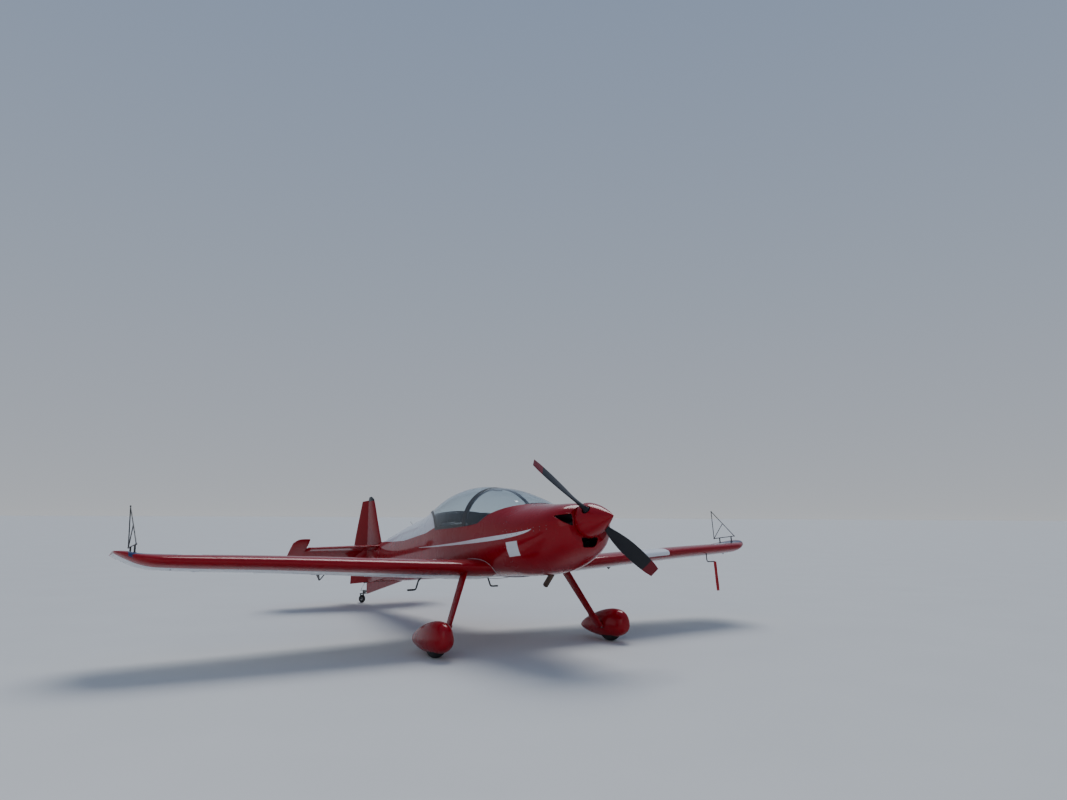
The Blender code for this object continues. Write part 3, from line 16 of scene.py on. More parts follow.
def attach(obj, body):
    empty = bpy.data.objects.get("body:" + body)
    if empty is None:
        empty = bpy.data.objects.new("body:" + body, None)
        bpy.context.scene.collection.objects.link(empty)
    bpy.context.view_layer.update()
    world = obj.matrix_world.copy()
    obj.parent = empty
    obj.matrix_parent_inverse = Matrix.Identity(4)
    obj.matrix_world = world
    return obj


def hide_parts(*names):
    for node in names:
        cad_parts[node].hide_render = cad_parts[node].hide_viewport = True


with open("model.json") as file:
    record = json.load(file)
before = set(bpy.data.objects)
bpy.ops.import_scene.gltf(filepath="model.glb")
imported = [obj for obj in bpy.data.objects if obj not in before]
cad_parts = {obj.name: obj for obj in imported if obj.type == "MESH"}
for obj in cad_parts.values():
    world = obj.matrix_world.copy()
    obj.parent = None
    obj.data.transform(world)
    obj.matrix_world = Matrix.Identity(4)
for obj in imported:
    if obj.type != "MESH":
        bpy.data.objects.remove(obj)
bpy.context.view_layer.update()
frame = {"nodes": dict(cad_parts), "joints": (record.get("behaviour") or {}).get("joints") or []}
JOINTS = {joint["name"]: joint for joint in frame["joints"]}
SIDES = (("left", 1.0), ("right", -1.0))

# %% [markdown]
# ## The aircraft's own axes
# An aircraft with a tail wheel parks nose-up. Its drawings are level, so it is easier to build
# each piece level, with x forward from the wing's root, and tilt the finished mesh. The
# propeller's axis gives the tilt, and the main wheel's axle gives the place.

# %% From level drawings to the parked frame
AXLE = (0.022, 0.179)
TRACK = 2.310
forward = Vector(JOINTS["propeller_spin"]["axis"])
upward = Vector((-forward.z, 0.0, forward.x))
axle_place = Vector(JOINTS["main_wheel_left_spin"]["pos_m"])
PARKED = Matrix((
    (forward.x, 0.0, upward.x, 0.0),
    (0.0, 1.0, 0.0, 0.0),
    (forward.z, 0.0, upward.z, 0.0),
    (0.0, 0.0, 0.0, 1.0)))
PARKED.translation = axle_place - PARKED @ Vector((AXLE[0], TRACK / 2, AXLE[1]))
PITCH = math.atan2(forward.z, forward.x)
print("parked nose-up by %.2f degrees" % math.degrees(PITCH))

# %% [markdown]
# ## Mesh helpers
# A few helpers make nearly everything. A loft skins a row of outlines, a prism pushes an outline
# straight, a bar is a round rod, and carve cuts or joins meshes with exact booleans and keeps
# only the finished mesh. Booleans give clean openings where two smooth shapes meet.


# %% Loft, prism, block and bar
def mesh_of(shape, name):
    bmesh.ops.recalc_face_normals(shape, faces=shape.faces)
    mesh = bpy.data.meshes.new(name)
    shape.to_mesh(mesh)
    shape.free()
    return mesh


def round_steps(count, start=0.0):
    """Cosine and sine of evenly spaced angles round a circle."""
    angles = [2 * math.pi * (i + start) / count for i in range(count)]
    return [(math.cos(angle), math.sin(angle)) for angle in angles]


def bridge(shape, low, high):
    """Faces between two rings of points."""
    for i in range(len(low)):
        j = (i + 1) % len(low)
        shape.faces.new((low[i], low[j], high[j], high[i]))


def quilt(shape, grid):
    """Faces over a grid of points."""
    for low, high in zip(grid, grid[1:]):
        for c in range(len(low) - 1):
            shape.faces.new((low[c], low[c + 1], high[c + 1], high[c]))


def loft(name, rings):
    """Skin between rings of points, closed by a face at each end."""
    shape = bmesh.new()
    rows = [[shape.verts.new(point) for point in ring] for ring in rings]
    for low, high in zip(rows, rows[1:]):
        bridge(shape, low, high)
    shape.faces.new(rows[0][::-1])
    shape.faces.new(rows[-1])
    return mesh_of(shape, name)


def prism(name, outline, low, high, axis="y"):
    """An outline pushed straight along an axis, from low to high."""
    def at(a, b, c):
        return {"x": (c, a, b), "y": (a, c, b), "z": (a, b, c)}[axis]
    return loft(name, [[at(a, b, c) for a, b in outline] for c in (low, high)])


def block(name, low, high):
    (x0, y0, z0), (x1, y1, z1) = low, high
    return prism(name, [(x0, z0), (x1, z0), (x1, z1), (x0, z1)], y0, y1)


def bar(name, start, end, radius, sides=32):
    start, end = Vector(start), Vector(end)
    along = end - start
    turn = along.to_track_quat("Z", "Y").to_matrix().to_4x4()
    shape = bmesh.new()
    bmesh.ops.create_cone(
        shape, cap_ends=True, segments=sides, radius1=radius, radius2=radius,
        depth=along.length, matrix=Matrix.Translation((start + end) / 2) @ turn)
    return mesh_of(shape, name)


# %% Carve: exact booleans, applied at once
def stand(name, mesh):
    made = bpy.data.objects.new(name, mesh)
    bpy.context.scene.collection.objects.link(made)
    return made


def baked(made):
    """The evaluated mesh of an object, with its modifiers gone."""
    bpy.context.view_layer.update()
    depsgraph = bpy.context.evaluated_depsgraph_get()
    mesh = bpy.data.meshes.new_from_object(made.evaluated_get(depsgraph))
    mesh.name = made.name
    return mesh


def carve(mesh, *steps):
    """Each step is an operation, DIFFERENCE, UNION or INTERSECT, and a mesh."""
    work = stand(mesh.name, mesh)
    tools = []
    for operation, tool_mesh in steps:
        tool = stand("tool", tool_mesh)
        tools.append(tool)
        step = work.modifiers.new(operation.lower(), "BOOLEAN")
        step.operation = operation
        step.solver = "EXACT"
        step.object = tool
    result = baked(work)
    for used in [work] + tools:
        bpy.data.objects.remove(used, do_unlink=True)
    return result


# %% Show a finished piece
# Past its crease, an angle in degrees, an edge stays sharp.
SKIN_CREASE = 32.0
SURFACE_CREASE = 28.0
TURNED_CREASE = 40.0
TUBE_CREASE = 50.0
HEAD_CREASE = 60.0
PAD_CREASE = 70.0
CLOTH_CREASE = 80.0


def show(name, mesh, body, looks, stands_for=(), crease=SKIN_CREASE, level=True):
    """Park the mesh, shade it and let it ride on its body."""
    if level:
        mesh.transform(PARKED)
    looks = looks if isinstance(looks, (list, tuple)) else [looks]
    places = [min(face.material_index, len(looks) - 1) for face in mesh.polygons]
    mesh.materials.clear()
    for look in looks:
        mesh.materials.append(look)
    mesh.polygons.foreach_set("material_index", places)
    mesh.shade_smooth()
    mesh.set_sharp_from_angle(angle=math.radians(crease))
    piece = stand(name, mesh)
    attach(piece, body)
    if stands_for:
        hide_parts(*stands_for)
    print("%s: %d faces" % (name, len(mesh.polygons)))
    return piece


def fuse(name, meshes):
    """Several meshes as one, without a boolean."""
    shape = bmesh.new()
    for mesh in meshes:
        shape.from_mesh(mesh)
    mesh = bpy.data.meshes.new(name)
    shape.to_mesh(mesh)
    shape.free()
    return mesh


def add_fitting(name, meshes, look, crease=SKIN_CREASE, body="airframe"):
    """A small piece of one or more meshes that no CAD node stands for."""
    show(name, fuse(name, meshes), body, look, crease=crease)


# %% [markdown]
# ## Paint
# Aircraft paint is a thick gloss coat over a thin body colour. A clear coat gives the hard
# reflections, a fine noise in the bump gives the faint orange peel of sprayed paint, and a
# larger noise dulls it a little where dust settles.


# %% Node helpers
def new_look(name):
    look = bpy.data.materials.new(name)
    look.use_nodes = True
    tree = look.node_tree
    return look, tree, tree.nodes["Principled BSDF"]


def add_node(tree, kind, links=(), **settings):
    made = tree.nodes.new(kind)
    for key, value in settings.items():
        setattr(made, key, value)
    for socket, source in links:
        if isinstance(source, bpy.types.NodeSocket):
            tree.links.new(source, made.inputs[socket])
        else:
            made.inputs[socket].default_value = source
    return made


def maths(tree, operation, *sources):
    return add_node(tree, "ShaderNodeMath", list(enumerate(sources)), operation=operation).outputs[0]


def object_place(tree):
    return add_node(tree, "ShaderNodeTexCoord").outputs["Object"]


def level_place(tree):
    """Object coordinates turned back into the level drawing's x, y and z."""
    turned = add_node(tree, "ShaderNodeMapping", [
        ("Vector", object_place(tree)), ("Location", PARKED.translation),
        ("Rotation", PARKED.to_euler())], vector_type="TEXTURE")
    return add_node(tree, "ShaderNodeSeparateXYZ", [("Vector", turned.outputs[0])])


def noise(tree, scale, detail=3.0, rough=0.5):
    made = add_node(tree, "ShaderNodeTexNoise", [
        ("Vector", object_place(tree)), ("Scale", scale), ("Detail", detail), ("Roughness", rough)])
    return made.outputs["Fac"]


def blend_colour(tree, share, under, over):
    made = add_node(tree, "ShaderNodeMix", [(0, share), (6, under), (7, over)], data_type="RGBA")
    return made.outputs[2]


def span(tree, value, low, high):
    """A value from 0 to 1, stretched from low to high."""
    made = add_node(tree, "ShaderNodeMapRange", [
        ("Value", value), ("From Min", 0.0), ("From Max", 1.0), ("To Min", low), ("To Max", high)])
    return made.outputs[0]


def between(tree, value, low, high):
    above = maths(tree, "GREATER_THAN", value, low)
    below = maths(tree, "LESS_THAN", value, high)
    return maths(tree, "MULTIPLY", above, below)


# %% Gloss paint with dust and orange peel
RED = (0.300, 0.0020, 0.0100, 1.0)
DEEP_RED = (0.215, 0.0016, 0.0070, 1.0)
WHITE = (0.74, 0.76, 0.79, 1.0)
SHADED_WHITE = (0.62, 0.65, 0.70, 1.0)
NAVY = (0.018, 0.035, 0.110, 1.0)
DUST = (0.30, 0.22, 0.15, 1.0)
DUST_SHARE = 0.05
PEEL_STRENGTH = 0.035
# The colour itself reflects little and the coat does the rest, which keeps the red deep.
BASE_SPECULAR = 0.04
COAT_WEIGHT = 0.5
COAT_ROUGHNESS = 0.03
COAT_IOR = 1.42


def gloss_paint(name, colour, shaded, marks=None):
    """marks is a function that lays decoration over the body colour, or None."""
    look, tree, shader = new_look(name)
    base = blend_colour(tree, span(tree, noise(tree, 1.6), 0.0, 0.55), colour, shaded)
    if marks:
        base = marks(tree, base)
    dust = maths(tree, "POWER", noise(tree, 7.0, 6.0, 0.65), 3.0)
    base = blend_colour(tree, maths(tree, "MULTIPLY", dust, DUST_SHARE), base, DUST)
    tree.links.new(base, shader.inputs["Base Color"])
    tree.links.new(span(tree, noise(tree, 5.0, 5.0), 0.20, 0.36), shader.inputs["Roughness"])
    peel = add_node(tree, "ShaderNodeBump", [
        ("Strength", PEEL_STRENGTH), ("Distance", 0.001), ("Height", noise(tree, 260.0, 2.0))])
    tree.links.new(peel.outputs[0], shader.inputs["Normal"])
    shader.inputs["Specular IOR Level"].default_value = BASE_SPECULAR
    shader.inputs["Coat Weight"].default_value = COAT_WEIGHT
    shader.inputs["Coat Roughness"].default_value = COAT_ROUGHNESS
    shader.inputs["Coat IOR"].default_value = COAT_IOR
    return look


red_paint = gloss_paint("red_gloss_paint", RED, DEEP_RED)
white_paint = gloss_paint("white_gloss_paint", WHITE, SHADED_WHITE)
print("paints:", red_paint.name, white_paint.name)

# %% [markdown]
# ## Decoration on the paint
# The fuselage has a long white stripe that swells and then comes to a point, and a bare white
# panel ahead of it. Both are painted, so they belong in the material: two curves give the
# stripe's middle and half width along the fuselage, and a mask compares them with the height.

# %% Stripe and panel on the fuselage paint
STRIPE_REACH = (-2.000, 1.000)
STRIPE_ENDS = (-1.990, 0.915)
STRIPE_BAND = (1.150, 1.350)
STRIPE_MIDDLE = ((-2.000, 1.304), (-0.700, 1.238), (-0.100, 1.223), (0.470, 1.214),
                 (0.710, 1.219), (0.920, 1.247))
STRIPE_HALF = ((-2.000, 0.002), (-1.400, 0.007), (-0.700, 0.014), (0.200, 0.024),
               (0.600, 0.019), (0.920, 0.0))
PANEL_X = (0.462, 0.668)
PANEL_Z = (0.992, 1.148)
HALF_SCALE = 0.05


def along_curve(tree, place, points, low, high, first, last):
    """A smooth curve through points x, value, read at a place along the fuselage."""
    share = maths(tree, "DIVIDE", maths(tree, "SUBTRACT", place, first), last - first)
    made = add_node(tree, "ShaderNodeFloatCurve", [("Value", share)])
    line = made.mapping.curves[0]
    while len(line.points) < len(points):
        line.points.new(0.5, 0.5)
    for spot, (x, value) in zip(line.points, points):
        spot.location = ((x - first) / (last - first), (value - low) / (high - low))
    made.mapping.update()
    return span(tree, made.outputs[0], low, high)


def fuselage_marks(tree, base):
    place = level_place(tree)
    x, height = place.outputs[0], place.outputs[2]
    middle = along_curve(tree, x, STRIPE_MIDDLE, *STRIPE_BAND, *STRIPE_REACH)
    half = along_curve(tree, x, STRIPE_HALF, 0.0, HALF_SCALE, *STRIPE_REACH)
    off_middle = maths(tree, "ABSOLUTE", maths(tree, "SUBTRACT", height, middle))
    near = maths(tree, "LESS_THAN", off_middle, half)
    stripe = maths(tree, "MULTIPLY", near, between(tree, x, *STRIPE_ENDS))
    panel = maths(tree, "MULTIPLY", between(tree, x, *PANEL_X), between(tree, height, *PANEL_Z))
    return blend_colour(tree, maths(tree, "MAXIMUM", stripe, panel), base, WHITE)


fuselage_paint = gloss_paint("fuselage_gloss_paint", RED, DEEP_RED, fuselage_marks)

# %% Red foot of the pale turtledeck
DECK_REACH = (-4.500, -1.300)
DECK_BAND = (1.400, 1.700)
DECK_RED_TOP = ((-4.500, 1.602), (-3.853, 1.549), (-3.249, 1.501), (-2.222, 1.454),
                (-1.365, 1.512), (-1.300, 1.520))


def deck_marks(tree, base):
    place = level_place(tree)
    edge = along_curve(tree, place.outputs[0], DECK_RED_TOP, *DECK_BAND, *DECK_REACH)
    return blend_colour(tree, maths(tree, "LESS_THAN", place.outputs[2], edge), base, RED)


deck_paint = gloss_paint("turtledeck_gloss_paint", WHITE, SHADED_WHITE, deck_marks)

# %% Bands across the wing's upper skin
# The left wing's wide band starts at its nose. The tips' bands start a hand's width behind it.
LEFT_BAND = (1.750, 2.370)
TIP_WHITE = (3.420, 3.640)
TIP_NAVY = (3.640, 4.060)
NOSE_SWEEP = (0.031, 0.0748)
BAND_SETBACK = 0.120


def wing_marks(tree, base):
    place = level_place(tree)
    side = maths(tree, "ABSOLUTE", place.outputs[1])
    nose = maths(tree, "SUBTRACT", NOSE_SWEEP[0], maths(tree, "MULTIPLY", side, NOSE_SWEEP[1]))
    behind = maths(tree, "GREATER_THAN", maths(tree, "SUBTRACT", nose, place.outputs[0]), BAND_SETBACK)
    tip_white = maths(tree, "MULTIPLY", behind, between(tree, side, *TIP_WHITE))
    tip_navy = maths(tree, "MULTIPLY", behind, between(tree, side, *TIP_NAVY))
    white = maths(tree, "MAXIMUM", between(tree, place.outputs[1], *LEFT_BAND), tip_white)
    return blend_colour(tree, tip_navy, blend_colour(tree, white, base, WHITE), NAVY)


wing_top_paint = gloss_paint("wing_top_gloss_paint", RED, DEEP_RED, wing_marks)
print("decorated paints:", fuselage_paint.name, wing_top_paint.name)

# %% [markdown]
# ## The other finishes
# Satin black covers the frames, steps and rods. Bare metals get brushed or heat-stained colour,
# rubber gets a matt, dusty grain, and upholstery gets a fine leather grain.


# %% Metals, rubber, plastic and leather
def plain_look(name, colour, rough, grain, strength, metallic=0.0, distance=0.001, spread=0.12):
    look, tree, shader = new_look(name)
    darker = tuple(part * 0.6 for part in colour[:3]) + (1.0,)
    tree.links.new(blend_colour(tree, noise(tree, 9.0, 5.0), colour, darker), shader.inputs["Base Color"])
    wear = span(tree, noise(tree, 14.0, 4.0), rough - spread, rough + spread)
    tree.links.new(wear, shader.inputs["Roughness"])
    bump = add_node(tree, "ShaderNodeBump", [
        ("Strength", strength), ("Distance", distance), ("Height", noise(tree, grain, 4.0))])
    tree.links.new(bump.outputs[0], shader.inputs["Normal"])
    shader.inputs["Metallic"].default_value = metallic
    return look


satin_black = plain_look("satin_black_paint", (0.014, 0.014, 0.016, 1.0), 0.34, 320.0, 0.06)
trim_black = plain_look("moulded_dark_trim", (0.016, 0.016, 0.018, 1.0), 0.66, 700.0, 0.25)
rubber = plain_look("tyre_rubber", (0.020, 0.020, 0.021, 1.0), 0.80, 420.0, 0.25)
alloy = plain_look("machined_alloy", (0.52, 0.53, 0.55, 1.0), 0.32, 240.0, 0.05, metallic=1.0)
steel = plain_look("plain_steel", (0.33, 0.33, 0.35, 1.0), 0.36, 300.0, 0.06, metallic=1.0)
leather = plain_look("seat_leather", (0.018, 0.018, 0.021, 1.0), 0.55, 520.0, 0.35)
webbing = plain_look("harness_webbing", (0.055, 0.055, 0.062, 1.0), 0.82, 900.0, 0.45)
streamer_cloth = plain_look("streamer_cloth", (0.50, 0.010, 0.018, 1.0), 0.80, 1100.0, 0.40)
dial_black = plain_look("dial_face", (0.006, 0.006, 0.007, 1.0), 0.40, 500.0, 0.05)
dial_white = plain_look("dial_marks", (0.80, 0.80, 0.76, 1.0), 0.50, 300.0, 0.05)


def stained_steel():
    look, tree, shader = new_look("heat_stained_steel")
    hot = blend_colour(tree, noise(tree, 22.0, 5.0), (0.30, 0.19, 0.10, 1.0), (0.12, 0.10, 0.13, 1.0))
    soot = maths(tree, "POWER", noise(tree, 40.0, 6.0), 2.0)
    tree.links.new(blend_colour(tree, soot, hot, (0.02, 0.018, 0.016, 1.0)), shader.inputs["Base Color"])
    tree.links.new(span(tree, noise(tree, 30.0), 0.38, 0.62), shader.inputs["Roughness"])
    shader.inputs["Metallic"].default_value = 0.9
    return look


exhaust_metal = stained_steel()

# %% Canopy glass and blade paint
GLASS_TINT = (0.80, 0.88, 0.92, 1.0)
# Thin acrylic is drawn with a low index, so that the sky's reflection doesn't hide the cabin.
GLASS_IOR = 1.18
GLASS_COAT = 0.08
BLADE_TIP_START = 0.775
BLADE_TIP_RED = (0.16, 0.004, 0.012, 1.0)


def canopy_plastic():
    """Clear acrylic, with the faintest haze of fine scratches."""
    look, tree, shader = new_look("canopy_acrylic")
    tree.links.new(span(tree, noise(tree, 60.0, 6.0), 0.0, 0.015), shader.inputs["Roughness"])
    shader.inputs["Base Color"].default_value = GLASS_TINT
    shader.inputs["Transmission Weight"].default_value = 1.0
    shader.inputs["IOR"].default_value = GLASS_IOR
    shader.inputs["Coat Weight"].default_value = GLASS_COAT
    shader.inputs["Coat Roughness"].default_value = 0.0
    return look


def blade_paint():
    """Satin black with red tips: the distance from the propeller's axis picks the colour."""
    look, tree, shader = new_look("blade_paint")
    hub = JOINTS["propeller_spin"]["pos_m"]
    reach = add_node(tree, "ShaderNodeVectorMath", [(0, object_place(tree)), (1, hub)],
                     operation="DISTANCE")
    tip = maths(tree, "GREATER_THAN", reach.outputs["Value"], BLADE_TIP_START)
    black = blend_colour(tree, noise(tree, 12.0), (0.006, 0.007, 0.010, 1.0), (0.012, 0.013, 0.018, 1.0))
    tree.links.new(blend_colour(tree, tip, black, BLADE_TIP_RED), shader.inputs["Base Color"])
    tree.links.new(span(tree, noise(tree, 20.0, 4.0), 0.30, 0.48), shader.inputs["Roughness"])
    shader.inputs["Specular IOR Level"].default_value = 0.35
    return look


acrylic = canopy_plastic()
blade_black = blade_paint()
print("finishes:", len(bpy.data.materials))

# %% [markdown]
# ## The fuselage's cross-sections
# One table holds the whole body: at each station its half width, the height of its widest
# point, its top and bottom, and how square each half is. A smooth curve runs through the rows,
# and every piece of the body, from cowl to tail, reads its outlines from it, so they meet.

# %% Fuselage table and rings
FUSELAGE = (
    (1.320, 0.250, 1.280, 1.448, 1.040, 2.0, 2.3),
    (1.250, 0.330, 1.275, 1.470, 0.975, 2.1, 2.5),
    (1.100, 0.400, 1.260, 1.492, 0.900, 2.2, 2.6),
    (0.900, 0.450, 1.240, 1.512, 0.830, 2.2, 2.6),
    (0.700, 0.482, 1.240, 1.538, 0.795, 2.2, 2.6),
    (0.450, 0.505, 1.260, 1.578, 0.782, 2.2, 2.6),
    (0.150, 0.518, 1.290, 1.712, 0.798, 2.1, 2.7),
    (-0.150, 0.524, 1.310, 1.822, 0.812, 2.1, 2.8),
    (-0.500, 0.528, 1.320, 1.903, 0.825, 2.1, 2.8),
    (-0.800, 0.525, 1.320, 1.955, 0.835, 2.1, 2.8),
    (-1.100, 0.515, 1.320, 1.975, 0.845, 2.1, 2.8),
    (-1.500, 0.480, 1.320, 1.955, 0.862, 2.1, 2.7),
    (-1.900, 0.435, 1.310, 1.892, 0.882, 2.0, 2.6),
    (-2.420, 0.375, 1.300, 1.806, 0.900, 1.9, 2.5),
    (-2.850, 0.325, 1.290, 1.772, 0.912, 1.8, 2.4),
    (-3.250, 0.280, 1.280, 1.733, 0.923, 1.8, 2.3),
    (-3.740, 0.220, 1.270, 1.672, 0.940, 1.8, 2.2),
    (-4.400, 0.135, 1.270, 1.602, 0.962, 1.9, 2.1),
    (-5.060, 0.034, 1.280, 1.585, 0.980, 2.0, 2.0),
)
RING_POINTS = 96
STATION_PITCH = 0.045
NOSE_X = FUSELAGE[0][0]
TAIL_X = FUSELAGE[-1][0]


def read_rows(rows, x):
    """A smooth curve through a table's rows, read at x, which is column 0."""
    ordered = sorted(rows)
    x = min(max(x, ordered[0][0]), ordered[-1][0])
    index = 0
    while index < len(ordered) - 2 and x > ordered[index + 1][0]:
        index += 1
    low, high = ordered[index], ordered[index + 1]
    before, after = ordered[max(index - 1, 0)], ordered[min(index + 2, len(ordered) - 1)]
    width = high[0] - low[0]
    t = (x - low[0]) / width
    values = []
    for column in range(1, len(low)):
        rise = high[column] - low[column]
        enter = (high[column] - before[column]) / (high[0] - before[0]) * width
        leave = (after[column] - low[column]) / (after[0] - low[0]) * width
        bend = (3 * rise - 2 * enter - leave) * t * t + (enter + leave - 2 * rise) * t ** 3
        values.append(low[column] + enter * t + bend)
    return values


def body_ring(x, grow=0.0):
    """The body's outline at x. A power above 2 makes a half squarer than an ellipse."""
    half, middle, top, bottom, round_up, round_down = read_rows(FUSELAGE, x)
    ring = []
    for c, s in round_steps(RING_POINTS, 0.5):
        power = 2.0 / (round_up if s > 0 else round_down)
        reach = (top - middle if s > 0 else middle - bottom) + grow
        ring.append((x, math.copysign((half + grow) * abs(c) ** power, c),
                     middle + math.copysign(reach * abs(s) ** power, s)))
    return ring


def skin_y(x, z):
    """Half the body's width at a height."""
    half, middle, top, bottom, round_up, round_down = read_rows(FUSELAGE, x)
    power, reach = (round_up, top - middle) if z > middle else (round_down, middle - bottom)
    return half * max(1 - (abs(z - middle) / reach) ** power, 0.0) ** (1 / power)


def stations(rear, front, pitch=STATION_PITCH):
    count = max(2, math.ceil((front - rear) / pitch))
    return [rear + (front - rear) * i / count for i in range(count + 1)]


def body_solid(name, rear, front, grow=0.0):
    return loft(name, [body_ring(x, grow) for x in stations(rear, front)])


def body_shell(name, rear, front, wall):
    """A stretch of the body with a wall, open at both ends."""
    shape = bmesh.new()
    skins = []
    for grow in (0.0, -wall):
        skins.append([[shape.verts.new(p) for p in body_ring(x, grow)] for x in stations(rear, front)])
    for rows in skins:
        for low, high in zip(rows, rows[1:]):
            bridge(shape, low, high)
    outer, inner = skins
    for end in (0, -1):
        bridge(shape, outer[end], inner[end])
    return mesh_of(shape, name)


print("fuselage from x %.2f to %.2f m" % (TAIL_X, NOSE_X))

# %% [markdown]
# ## Cowling
# The cowling is a thin glass-fibre shell in an upper and a lower half, split along a straight
# seam. It is lofted solid, hollowed with a smaller copy of itself, and then opened for the
# crankshaft, for the two cooling inlets beside the spinner and for the intake in the chin.

# %% Cowl halves with their openings
SEAM = 0.0006
COWL_REAR_X = 0.450
COWL_WALL = 0.010
COWL_SPLIT_Z = 1.240
THRUST_Z = 1.287
SHAFT_HOLE = 0.057
SHAFT_REACH = (1.0, 1.6)
INLET = ((0.190, 1.362), (0.190, 1.218), (0.310, 1.280), (0.358, 1.355))
INLET_BACK_X = 0.930
CHIN = ((0.115, 1.120), (0.080, 1.012), (-0.080, 1.012), (-0.115, 1.120))
CHIN_BACK_X = 1.120
# Cutters reach this far to the sides, up and ahead, well clear of the body.
WIDE = 0.8
SKY = 2.6
AHEAD_OF_NOSE = 1.5
HALF_REACH = (0.0, 2.0)
# Cutters run past the edge that they cut by one of these.
OVERRUN = 0.05
LONG_OVERRUN = 0.1


def rounded(outline, radius, steps=5):
    """The outline with each corner replaced by a short curve."""
    smooth = []
    count = len(outline)
    for i, corner in enumerate(outline):
        here = Vector(corner)
        arms = [(Vector(outline[(i + turn) % count]) - here) for turn in (-1, 1)]
        near = [here + arm.normalized() * min(radius, arm.length * 0.45) for arm in arms]
        for k in range(steps + 1):
            t = k / steps
            smooth.append(tuple(near[0] * (1 - t) ** 2 + here * 2 * t * (1 - t) + near[1] * t * t))
    return smooth


INLET_EDGE = rounded(INLET, 0.040)
CHIN_EDGE = rounded(CHIN, 0.035)
for half_name, low, high in (("upper", COWL_SPLIT_Z + SEAM, SKY), ("lower", 0.0, COWL_SPLIT_Z)):
    cuts = [("DIFFERENCE", body_solid("hollow", COWL_REAR_X - OVERRUN, NOSE_X - COWL_WALL, -COWL_WALL)),
            ("DIFFERENCE", bar("shaft", *((x, 0.0, THRUST_Z) for x in SHAFT_REACH), SHAFT_HOLE))]
    for side, sign in SIDES:
        edge = [(sign * y, z) for y, z in INLET_EDGE]
        cuts.append(("DIFFERENCE", prism("inlet", edge, INLET_BACK_X, AHEAD_OF_NOSE, "x")))
    cuts.append(("DIFFERENCE", prism("chin", CHIN_EDGE, CHIN_BACK_X, AHEAD_OF_NOSE, "x")))
    cuts.append(("INTERSECT", block("half", (HALF_REACH[0], -WIDE, low), (HALF_REACH[1], WIDE, high))))
    cowl = carve(body_solid("cowl", COWL_REAR_X + SEAM / 2, NOSE_X), *cuts)
    show("cowl_skin_" + half_name, cowl, "airframe", fuselage_paint, ["cowl_" + half_name])

# %% [markdown]
# ## Tubes and lips that follow a path
# Many small fittings are one thing: a round section that follows a bent path. A Geometry Nodes
# tree does it once for all of them. It rounds the path's corners, sweeps a circle along it,
# closes the ends and sets the material.


# %% Geometry Nodes helper
def new_tree(name, inputs):
    tree = bpy.data.node_groups.new(name, "GeometryNodeTree")
    tree.interface.new_socket("Geometry", in_out="INPUT", socket_type="NodeSocketGeometry")
    for label, kind, value in inputs:
        socket = tree.interface.new_socket(label, in_out="INPUT", socket_type=kind)
        if value is not None:
            socket.default_value = value
    tree.interface.new_socket("Geometry", in_out="OUTPUT", socket_type="NodeSocketGeometry")
    return tree, tree.nodes.new("NodeGroupInput"), tree.nodes.new("NodeGroupOutput")


def run_tree(name, mesh, tree, settings):
    """Put the tree on a mesh, set its inputs by identifier, and return the plain result."""
    work = stand(name, mesh)
    modifier = work.modifiers.new("nodes", "NODES")
    modifier.node_group = tree
    for item in tree.interface.items_tree:
        if item.in_out == "INPUT" and item.name in settings:
            modifier[item.identifier] = settings[item.name]
    result = baked(work)
    bpy.data.objects.remove(work, do_unlink=True)
    return result


# %% Tube tree: a circle swept along a path with rounded corners
CORNER_STEPS = 6
WELD_REACH = 0.00002


def build_tube_tree():
    tree, source, sink = new_tree("tube_along_path", [
        ("Radius", "NodeSocketFloat", 0.01), ("Corner", "NodeSocketFloat", 0.02),
        ("Sides", "NodeSocketInt", 16), ("Finish", "NodeSocketMaterial", None)])
    path = add_node(tree, "GeometryNodeMeshToCurve", [("Mesh", source.outputs["Geometry"])])
    bend = add_node(tree, "GeometryNodeFilletCurve", [
        ("Curve", path.outputs[0]), (1, CORNER_STEPS), ("Limit Radius", True),
        ("Radius", source.outputs["Corner"])], mode="POLY")
    section = add_node(tree, "GeometryNodeCurvePrimitiveCircle", [
        ("Resolution", source.outputs["Sides"]), ("Radius", source.outputs["Radius"])])
    sweep = add_node(tree, "GeometryNodeCurveToMesh", [
        ("Curve", bend.outputs[0]), ("Profile Curve", section.outputs[0]), ("Fill Caps", True)])
    weld = add_node(tree, "GeometryNodeMergeByDistance", [
        ("Geometry", sweep.outputs[0]), ("Distance", WELD_REACH)])
    dress = add_node(tree, "GeometryNodeSetMaterial", [
        ("Geometry", weld.outputs[0]), ("Material", source.outputs["Finish"])])
    tree.links.new(dress.outputs[0], sink.inputs[0])
    return tree


tube_tree = build_tube_tree()


def path_mesh(points, closed=False):
    mesh = bpy.data.meshes.new("path")
    edges = [(i, i + 1) for i in range(len(points) - 1)]
    if closed:
        edges.append((len(points) - 1, 0))
    mesh.from_pydata([tuple(p) for p in points], edges, [])
    return mesh


def tube(name, points, radius, finish, corner=0.02, sides=16, closed=False):
    return run_tree(name, path_mesh(points, closed), tube_tree, {
        "Radius": radius, "Corner": corner, "Sides": sides, "Finish": finish})


print("tube tree:", len(tube_tree.nodes), "nodes")

# %% Rounded lips round the inlets and the chin intake
LIP_RADIUS = 0.0055
LIP_SET_BACK = 0.003


